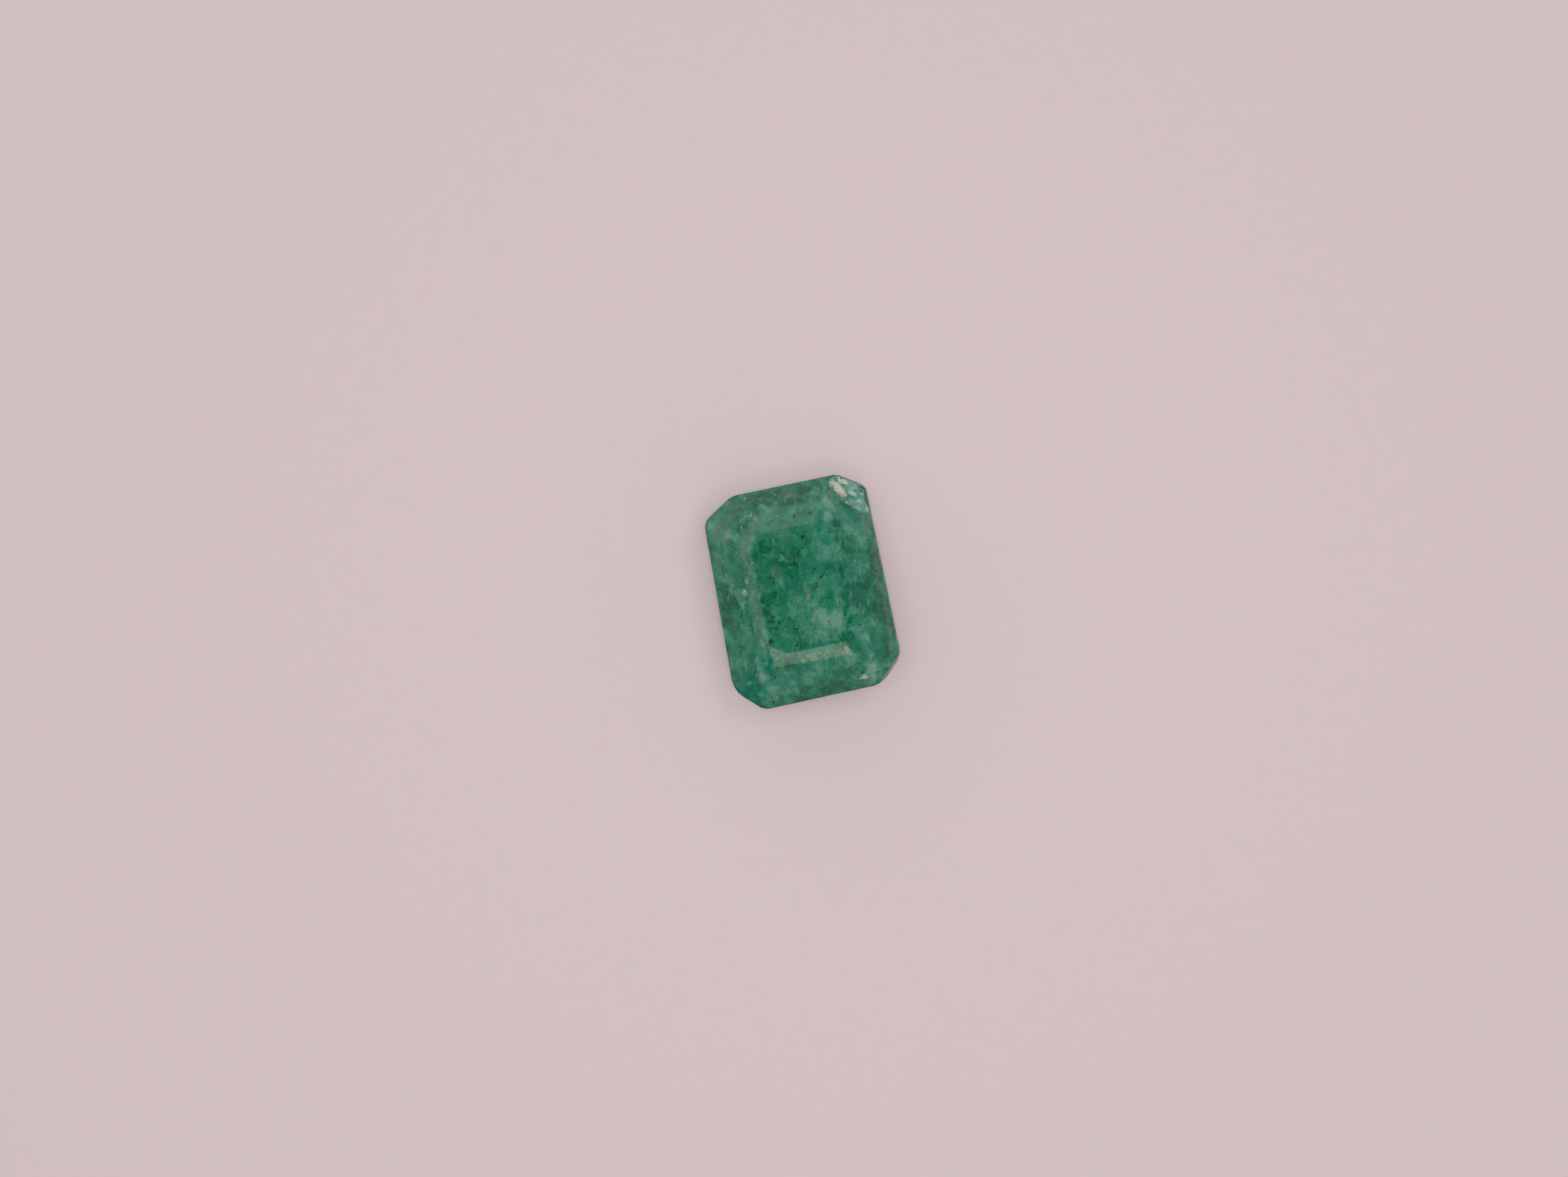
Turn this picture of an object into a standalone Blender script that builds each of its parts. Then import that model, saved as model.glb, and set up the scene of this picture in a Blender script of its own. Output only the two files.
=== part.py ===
"""A cut emerald: one stone, about nine by seven millimetres, in an octagonal step cut.

The stone is ground from a block one flat facet at a time, as a lapidary cuts it: the eight
girdle sides with their worn corners, three tiers of crown facets up to the table, three tiers
of pavilion facets down to a flat culet, and a narrow worn shoulder along the right-hand girdle.
The broken corner, the pits and the girdle nicks are then struck out of it.

X runs across the stone, +Y along it and +Z up through the table. The origin is under the
middle of the stone, on the plane that it rests on. Lengths in the tables are in millimetres.
"""

import math
import random
from typing import NamedTuple

import bmesh
import bpy
from mathutils import Matrix, Vector
from mathutils.bvhtree import BVHTree

MM = 0.001

# Heights, in millimetres, measured from the upper edge of the girdle.
CROWN_HEIGHT = 1.10
GIRDLE_THICKNESS = 0.36
PAVILION_DROPS = (0.95, 1.05, 0.86)
PAVILION_SHARES = (0.21, 0.36, 0.43)
SHOULDER_ANGLE = 72.0
ROUGH_BLOCK = 14.0
CORNER_FLATS = 3

# How near the stone's points may lie to a cut, and to each other, before they count as one.
CUT_REACH = 1e-8
MERGE_REACH = 1e-7

STONE_COLOUR = (0.020, 0.165, 0.085, 1.0)
STONE_ROUGHNESS = 0.12
STONE_IOR = 1.577
STONE_TRANSMISSION = 0.75


class Side(NamedTuple):
    """One of the eight sides of the girdle, with the facets above and below it."""

    name: str
    turn: float  # the way the girdle side faces, in degrees anticlockwise from +X
    reach: float  # from the stone's axis out to the girdle side
    crown_turns: tuple  # the ways the three crown facets face, from the girdle up
    crown_widths: tuple  # their widths seen from above, from the girdle up
    crown_angles: tuple  # the slopes of the lower two; the third ends at the table
    culet_reach: float  # from the axis out to the culet's edge
    shoulder: float  # the width of the worn shoulder, or nothing
    rounding: float  # the radius that the corner before the next side is worn to


SIDES = (
    Side("right", 0.0, 3.53, (0.0, 0.0, 0.0), (0.40, 0.56, 0.69), (46.0, 34.0), 0.90, 0.06, 0.55),
    Side("top_right", 56.3, 5.09, (56.3, 52.0, 47.7), (0.84, 0.84, 0.68), (33.0, 23.0), 1.92, 0.10, 0.60),
    Side("top", 90.0, 4.48, (90.0, 90.0, 90.0), (0.89, 0.46, 0.43), (37.0, 30.0), 1.86, 0.0, 1.00),
    Side("top_left", 122.0, 4.88, (122.0, 128.0, 134.0), (0.75, 0.74, 0.59), (37.0, 27.0), 1.86, 0.0, 0.65),
    Side("left", 178.2, 3.49, (178.2, 179.3, 179.5), (0.67, 0.62, 0.47), (39.3, 31.5), 0.86, 0.0, 1.20),
    Side("bottom_left", 226.8, 5.00, (226.8, 205.0, 237.8), (0.99, 1.09, 0.42), (33.6, 19.5), 1.88, 0.0, 0.70),
    Side("bottom", 270.6, 4.48, (270.6, 269.2, 270.0), (0.70, 0.87, 0.51), (38.0, 25.0), 1.84, 0.0, 1.10),
    Side("bottom_right", 314.2, 4.94, (314.2, 311.0, 307.8), (0.84, 0.80, 0.56), (35.0, 24.0), 1.90, 0.11, 1.00),
)


class Bite(NamedTuple):
    """A shallow shell-like hollow struck out of the crown."""

    name: str
    place: tuple  # its middle, seen from above
    heading: float  # the way its length runs, in degrees anticlockwise from +X
    length: float
    breadth: float
    depth: float
    ripple: float  # how far the fracture's arcs stand, as a share of the cutter's radius
    fineness: int  # how often the cutter's faces are divided


BITES = (
    Bite("corner_break", (2.96, 3.40), -55.0, 3.10, 1.15, 0.24, 0.018, 5),
    Bite("corner_crumble", (2.36, 3.82), -58.0, 1.00, 0.46, 0.30, 0.050, 4),
    Bite("corner_step", (2.98, 3.05), -44.0, 0.84, 0.42, 0.27, 0.030, 4),
    Bite("corner_tail", (3.28, 2.86), -70.0, 0.80, 0.44, 0.12, 0.020, 4),
    Bite("lower_pit", (1.88, -3.94), 20.0, 0.34, 0.25, 0.08, 0.080, 3),
    Bite("left_pit", (-2.25, 0.46), 80.0, 0.36, 0.22, 0.06, 0.050, 3),
    Bite("upper_pit", (-1.52, 4.30), 60.0, 0.30, 0.18, 0.07, 0.060, 3),
)

# The cutter of a hollow is a stretched ball; this share of its half height goes into the stone.
CUTTER_SINK = 0.25

# How often the arcs of a fracture run along each axis of its cutter, in radians per radius.
RIPPLE_WAVES = (16.0, 5.0, 7.0)

# Nicks stand round the girdle a golden share apart, and turn, tilt and drop unevenly.
NICK_COUNT = 18
NICK_START = 0.035
GOLDEN_SHARE = 0.618034
NICK_SWING = 15.0
NICK_TILTS = (0.3, 1.1)
NICK_DROP = 0.04
NICK_LENGTHS = (0.15, 0.36)
NICK_BREADTH_SHARES = (0.4, 0.7)
NICK_DEPTHS = (0.035, 0.060)
NICK_RIPPLE = 0.05
NICK_FINENESS = 2
NICK_SEED = 11


def outward(turn):
    """The level unit vector that points the way a side faces."""
    angle = math.radians(turn)
    return Vector((math.cos(angle), math.sin(angle), 0.0))


def grind(stone, point, normal):
    """Grind the stone flat on the plane through a point, and close the face it leaves."""
    geometry = stone.verts[:] + stone.edges[:] + stone.faces[:]
    cut = bmesh.ops.bisect_plane(
        stone,
        geom=geometry,
        dist=CUT_REACH,
        plane_co=point * MM,
        plane_no=normal,
        clear_outer=True,
    )
    rim = [item for item in cut["geom_cut"] if isinstance(item, bmesh.types.BMEdge)]
    if rim:
        bmesh.ops.contextual_create(stone, geom=rim)


def grind_slope(stone, point, turn, angle):
    """Grind a facet through a point, facing one way and sloping by an angle to the table."""
    slope = math.radians(angle)
    normal = outward(turn) * math.sin(slope) + Vector((0.0, 0.0, math.cos(slope)))
    grind(stone, point, normal)


def grind_girdle(stone, side):
    """Grind one upright girdle side, and its worn shoulder if it has one."""
    foot = outward(side.turn) * side.reach
    grind(stone, foot, outward(side.turn))
    if side.shoulder:
        top = foot - outward(side.turn) * side.shoulder
        top.z = side.shoulder * math.tan(math.radians(side.crown_angles[0]))
        grind_slope(stone, top, side.turn, SHOULDER_ANGLE)


def girdle_corner(side, after):
    """The sharp corner where two neighbouring girdle sides would meet."""
    here, there = outward(side.turn), outward(after.turn)
    across = here.x * there.y - here.y * there.x
    corner_x = (side.reach * there.y - after.reach * here.y) / across
    corner_y = (after.reach * here.x - side.reach * there.x) / across
    return Vector((corner_x, corner_y, 0.0))


def grind_corner(stone, side, after):
    """Grind the corner between two girdle sides round, in narrow flats along an arc."""
    opening = (after.turn - side.turn) % 360.0
    inward = side.rounding / math.cos(math.radians(opening / 2))
    centre = girdle_corner(side, after) - outward(side.turn + opening / 2) * inward
    for flat in range(1, CORNER_FLATS + 1):
        turn = side.turn + opening * flat / (CORNER_FLATS + 1)
        grind(stone, centre + outward(turn) * side.rounding, outward(turn))


def grind_crown(stone, side):
    """Grind the crown facets above one side, each hinged on the upper edge of the last."""
    hinge = outward(side.turn) * side.reach
    for tier, width in enumerate(side.crown_widths):
        turn = side.crown_turns[tier]
        if tier < len(side.crown_angles):
            angle = side.crown_angles[tier]
        else:
            angle = math.degrees(math.atan2(CROWN_HEIGHT - hinge.z, width))
        grind_slope(stone, hinge, turn, angle)
        hinge = hinge - outward(turn) * width
        hinge.z += width * math.tan(math.radians(angle))


def grind_pavilion(stone, side):
    """Grind the pavilion facets under one side, from the girdle down to the culet."""
    hinge = outward(side.turn) * side.reach
    hinge.z = -GIRDLE_THICKNESS
    whole_width = side.reach - side.culet_reach
    for share, drop in zip(PAVILION_SHARES, PAVILION_DROPS):
        width = whole_width * share
        normal = outward(side.turn) * drop - Vector((0.0, 0.0, width))
        grind(stone, hinge, normal.normalized())
        hinge = hinge - outward(side.turn) * width
        hinge.z -= drop


def side_pairs():
    """Each girdle side with the next one anticlockwise."""
    return list(zip(SIDES, SIDES[1:] + SIDES[:1]))


def cut_stone():
    """The whole cut stone, without its damage."""
    stone = bmesh.new()
    bmesh.ops.create_cube(stone, size=ROUGH_BLOCK * MM)
    for side in SIDES:
        grind_girdle(stone, side)
    for side, after in side_pairs():
        grind_corner(stone, side, after)
    for side in SIDES:
        grind_crown(stone, side)
        grind_pavilion(stone, side)
    up = Vector((0.0, 0.0, 1.0))
    culet_depth = GIRDLE_THICKNESS + sum(PAVILION_DROPS)
    grind(stone, up * CROWN_HEIGHT, up)
    grind(stone, -up * culet_depth, -up)
    bmesh.ops.remove_doubles(stone, verts=stone.verts, dist=MERGE_REACH)
    bmesh.ops.recalc_face_normals(stone, faces=stone.faces)
    return stone


def rippled_ball(ripple, fineness):
    """A ball of radius 1 whose surface stands in the low arcs of a shell-like fracture."""
    ball = bmesh.new()
    bmesh.ops.create_icosphere(ball, subdivisions=fineness, radius=1.0)
    along, across, through = RIPPLE_WAVES
    for vert in ball.verts:
        arc = math.sin(along * vert.co.x + across * vert.co.y) * math.cos(through * vert.co.z)
        vert.co *= 1.0 + ripple * arc
    return ball


def hollow_cutter(point, normal, bite):
    """The ball that leaves a hollow of the bite's length, breadth and depth at a point."""
    half_height = bite.depth / CUTTER_SINK
    spread = 2.0 * math.sqrt(1.0 - (1.0 - CUTTER_SINK) ** 2)
    lengthwise = outward(bite.heading)
    lengthwise = (lengthwise - normal * lengthwise.dot(normal)).normalized()
    breadthwise = normal.cross(lengthwise)
    axes = Matrix((lengthwise, breadthwise, normal)).transposed().to_4x4()
    stretch = Matrix.Diagonal((bite.length / spread, bite.breadth / spread, half_height, 1.0))
    centre = point + normal * (half_height - bite.depth)
    ball = rippled_ball(bite.ripple, bite.fineness)
    place = Matrix.Scale(MM, 4) @ Matrix.Translation(centre) @ axes @ stretch
    bmesh.ops.transform(ball, matrix=place, verts=ball.verts)
    return ball


def crown_cutters(stone):
    """The cutters of the named hollows, each set square on the crown under its place."""
    surface = BVHTree.FromBMesh(stone)
    cutters = []
    for bite in BITES:
        above = Vector((*bite.place, ROUGH_BLOCK)) * MM
        point, normal, _, _ = surface.ray_cast(above, Vector((0.0, 0.0, -1.0)))
        cutters.append((bite.name, hollow_cutter(point / MM, normal, bite)))
    return cutters


def girdle_point(share):
    """The point a share of the way round the girdle's upper edge, and the way that it faces."""
    corners = [girdle_corner(side, after) for side, after in side_pairs()]
    lengths = [(corners[index] - corners[index - 1]).length for index in range(len(SIDES))]
    along = share * sum(lengths)
    index = 0
    while along > lengths[index]:
        along -= lengths[index]
        index += 1
    start, end = corners[index - 1], corners[index]
    return start.lerp(end, along / lengths[index]), SIDES[index].turn


def nick_cutters():
    """Cutters of small nicks, spread unevenly round the girdle's upper edge."""
    chance = random.Random(NICK_SEED)
    cutters = []
    for index in range(NICK_COUNT):
        point, turn = girdle_point((NICK_START + index * GOLDEN_SHARE) % 1.0)
        normal = outward(turn + chance.uniform(-NICK_SWING, NICK_SWING))
        normal.z = chance.uniform(*NICK_TILTS)
        point.z = -chance.uniform(0.0, NICK_DROP)
        length = chance.uniform(*NICK_LENGTHS)
        depth = chance.uniform(*NICK_DEPTHS)
        breadth = length * chance.uniform(*NICK_BREADTH_SHARES)
        name = f"nick_{index + 1:02d}"
        nick = Bite(
            name, point.xy, turn + 90.0, length, breadth, depth, NICK_RIPPLE, NICK_FINENESS
        )
        cutters.append((name, hollow_cutter(point, normal.normalized(), nick)))
    return cutters


def add_object(name, shape):
    """Turn a finished shape into a named object in the scene."""
    mesh = bpy.data.meshes.new(name)
    shape.to_mesh(mesh)
    shape.free()
    thing = bpy.data.objects.new(name, mesh)
    bpy.context.collection.objects.link(thing)
    return thing


def strike_out(stone, name, shape):
    """Take one hollow out of the stone with a live Boolean."""
    cutter = add_object(f"cutter_{name}", shape)
    cutter.hide_render = True
    cutter.display_type = "WIRE"
    cutter.location = stone.location
    cut = stone.modifiers.new(name, "BOOLEAN")
    cut.operation = "DIFFERENCE"
    cut.solver = "EXACT"
    cut.object = cutter


def emerald_material():
    """Green glass-like stone, clouded inside."""
    material = bpy.data.materials.new("emerald_green")
    material.use_nodes = True
    shader = material.node_tree.nodes["Principled BSDF"]
    shader.inputs["Base Color"].default_value = STONE_COLOUR
    shader.inputs["Roughness"].default_value = STONE_ROUGHNESS
    shader.inputs["Metallic"].default_value = 0.0
    shader.inputs["IOR"].default_value = STONE_IOR
    shader.inputs["Transmission Weight"].default_value = STONE_TRANSMISSION
    return material


def clear_scene():
    """Remove every object that the scene starts with."""
    for thing in list(bpy.data.objects):
        bpy.data.objects.remove(thing, do_unlink=True)


def rest_offset(shape):
    """The move that stands a shape on the origin, by the middle of its box seen from above."""
    low = Vector(min(vert.co[axis] for vert in shape.verts) for axis in range(3))
    high = Vector(max(vert.co[axis] for vert in shape.verts) for axis in range(3))
    return -Vector(((low.x + high.x) / 2, (low.y + high.y) / 2, low.z))


def build():
    """Build the emerald, standing on its culet over the origin."""
    clear_scene()
    shape = cut_stone()
    offset = rest_offset(shape)
    cutters = crown_cutters(shape) + nick_cutters()
    stone = add_object("emerald", shape)
    stone.data.materials.append(emerald_material())
    stone.location = offset
    for name, cutter_shape in cutters:
        strike_out(stone, name, cutter_shape)


build()
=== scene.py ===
"""The looks of a cut emerald: a clear polished skin over its clouded heart.

The stone's facets come from the frame. What lies inside it, such as the mossy heart, the healed
cracks, the grains, the threads and the bruised corner, is worked out here and sealed under them.
Lists give places in millimetres from the stone's axis, and the meshes are in metres.
"""

import math

import bmesh
import bpy
import numpy as np
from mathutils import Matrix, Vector
from mathutils.bvhtree import BVHTree


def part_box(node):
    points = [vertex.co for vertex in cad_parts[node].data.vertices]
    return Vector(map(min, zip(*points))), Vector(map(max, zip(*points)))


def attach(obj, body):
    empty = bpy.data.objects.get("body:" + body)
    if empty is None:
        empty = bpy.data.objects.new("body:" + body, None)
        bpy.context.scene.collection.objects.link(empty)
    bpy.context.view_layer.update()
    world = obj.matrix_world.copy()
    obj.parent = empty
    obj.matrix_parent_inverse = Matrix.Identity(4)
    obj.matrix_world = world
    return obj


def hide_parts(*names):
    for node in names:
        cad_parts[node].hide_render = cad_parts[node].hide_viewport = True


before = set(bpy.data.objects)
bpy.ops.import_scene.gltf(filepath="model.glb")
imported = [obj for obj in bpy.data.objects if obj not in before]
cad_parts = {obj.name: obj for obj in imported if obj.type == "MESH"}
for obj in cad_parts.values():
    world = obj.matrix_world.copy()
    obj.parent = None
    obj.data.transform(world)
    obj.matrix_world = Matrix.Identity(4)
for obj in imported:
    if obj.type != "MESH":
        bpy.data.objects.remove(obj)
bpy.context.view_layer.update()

bl_info = {
    "name": "Cut Emerald",
    "version": (1, 0, 0),
    "blender": (4, 5, 0),
    "location": "3D View > Sidebar > Emerald",
    "description": "Dresses a step-cut emerald with its clouds, grains and healed cracks",
    "category": "Object",
}

MM = 0.001
STONE_NODE = "emerald"
BODY = "root"
STONE_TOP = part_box(STONE_NODE)[1].z
GIRDLE = 3.04 * MM
BROKEN_CORNER, CORNER_REACH = Vector((3.0, 3.4, 3.5)) * MM, 1.9 * MM

# The place inside the stone from which its facets are measured.
MIDDLE = np.array([0.0, 0.0, 2.4 * MM])

# How sharply the heart's form, its shards and its colours follow the facets.
FORM_SHARPNESS = 110.0
SHARD_SHARPNESS = 200.0
COLOUR_SHARPNESS = 150.0

# The heart's grid: rows, columns, and how much closer its rows lie towards the top.
HEART_ROWS, HEART_COLUMNS, HEART_GATHER = 232, 400, 0.5

# The heart's relief: sizes of its mounds, lumps and crumble, and the crumble's depth.
MOUND_SIZE, LUMP_SIZE, CRUMBLE_SIZE = 1.2 * MM, 0.36 * MM, 0.15 * MM
CRUMBLE_DEPTH = 0.012 * MM
RELIEF_FADE = 1.28 * MM
PIT_DEPTH = 0.05 * MM

# The heart's colour: how ragged its outlines are, as (reach, wave size, first seed, waves), how
# many shards lie over each other in it, and where a cloud begins and is full, as shares of its
# polygon.
RAGGED_WAVES = ((0.040 * MM, 0.40 * MM, 71, 30), (0.020 * MM, 0.14 * MM, 81, 40))
CROWN_FADE = 0.25 * MM
SHARD_COUNT = 1100
CLOUD_RIM, BROAD_CLOUD_RIM = (1.12, 0.86), (1.35, 0.45)

# How much clouds, shards, broad waves and fine waves add to the heart's milkiness, and how much
# more shards add beside the table and broad waves below the girdle. Beside the table the heart
# is painted darker, a painted shade for the dimmer look through the sloping facets, and shows
# more detail by these.
CLOUD_SHARE, SHARD_SHARE, BROAD_SHARE, FINE_SHARE = 0.80, 0.45, 0.10, 0.12
MORE_SHARDS, MORE_BROAD = 0.25, 0.30
PAINTED_SIDE_SHADE, SIDE_DETAIL = 0.29, 0.60

# The small healed cracks are strewn this far across and along, as long as both together stay
# under the sum, and further than the reach from the broken corner.
CRACK_FIELD, CRACK_FIELD_SUM = (3.0, 4.0), 6.0
CRACK_FREE_PLACE, CRACK_FREE_REACH = (2.9, 3.7), 1.4

STREWN_FLECKS = 40
FIBRE_POINTS, RING_POINTS = 18, 19
FIBRE_WOBBLE, RING_HALF_WIDTH = 0.018 * MM, 0.014 * MM

# The crumbs are strewn along a line from a start, by a run, and to both sides of it.
CRUMB_COUNT = 60
CRUMB_START, CRUMB_RUN, CRUMB_SIDES = (2.14, 4.22), (0.50, -0.68), (0.14, 0.10)
CRUST_ROWS, CRUST_COLUMNS, CRUST_THICKNESS = 40, 15, 0.03 * MM

FLOOR_HALF_WIDTH, FLOOR_GAP = 1.2, 0.01 * MM
CAMERA_AIM = Vector((-0.650, 0.283, 3.2)) * MM
SENSOR_WIDTH = 36.0

# Dark grains: across, along, width, length, turn in degrees, redness.
DARK_GRAINS = (
    (0.37, 3.09, 0.12, 0.15, -10, 0), (1.04, 3.09, 0.17, 0.12, 0, 0.1),
    (0.54, 2.22, 0.16, 0.17, 20, 0.1), (0.34, 2.38, 0.06, 0.05, 0, 0),
    (0.44, 1.8, 0.06, 0.08, 0, 0), (-0.01, 1.28, 0.07, 0.17, 0, 0.1),
    (-1.11, 0.83, 0.13, 0.12, 0, 0), (-0.22, 0.64, 0.1, 0.07, 10, 0.3),
    (0.73, 0.82, 0.09, 0.09, 0, 0.6), (0.98, 0.46, 0.09, 0.19, -50, 0.8),
    (-2.03, 1.17, 0.11, 0.13, 0, 0.6), (-1.12, -0.34, 0.11, 0.09, 0, 0.5),
    (-1.35, -0.78, 0.07, 0.15, 55, 0.5), (-1.12, -1.08, 0.12, 0.12, 0, 0.1),
    (-1.48, -0.93, 0.05, 0.22, 75, 0), (-1.63, -1.78, 0.15, 0.26, 0, 0.5),
    (0.88, -1.44, 0.1, 0.04, 20, 0), (0.91, -1.55, 0.04, 0.08, 30, 0),
    (2.09, -1.81, 0.13, 0.1, 0, 0.9), (-0.61, -3.87, 0.05, 0.13, 50, 0),
    (-2.04, -4.21, 0.12, 0.12, 0, 0), (-2.05, -4.31, 0.11, 0.06, 0, 0.1),
    (-1.76, -3.19, 0.11, 0.09, 0, 0), (2.44, -3.9, 0.11, 0.09, 0, 0.7),
    (1.82, -3.75, 0.11, 0.12, 0, 0.3), (1.31, -2.36, 0.05, 0.06, 0, 0),
    (-0.87, -0.06, 0.05, 0.22, 5, 0.1), (-1.85, 0.68, 0.1, 0.06, 0, 0.6),
    (3.22, 0.2, 0.14, 0.1, 0, 0.4),
)

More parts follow.
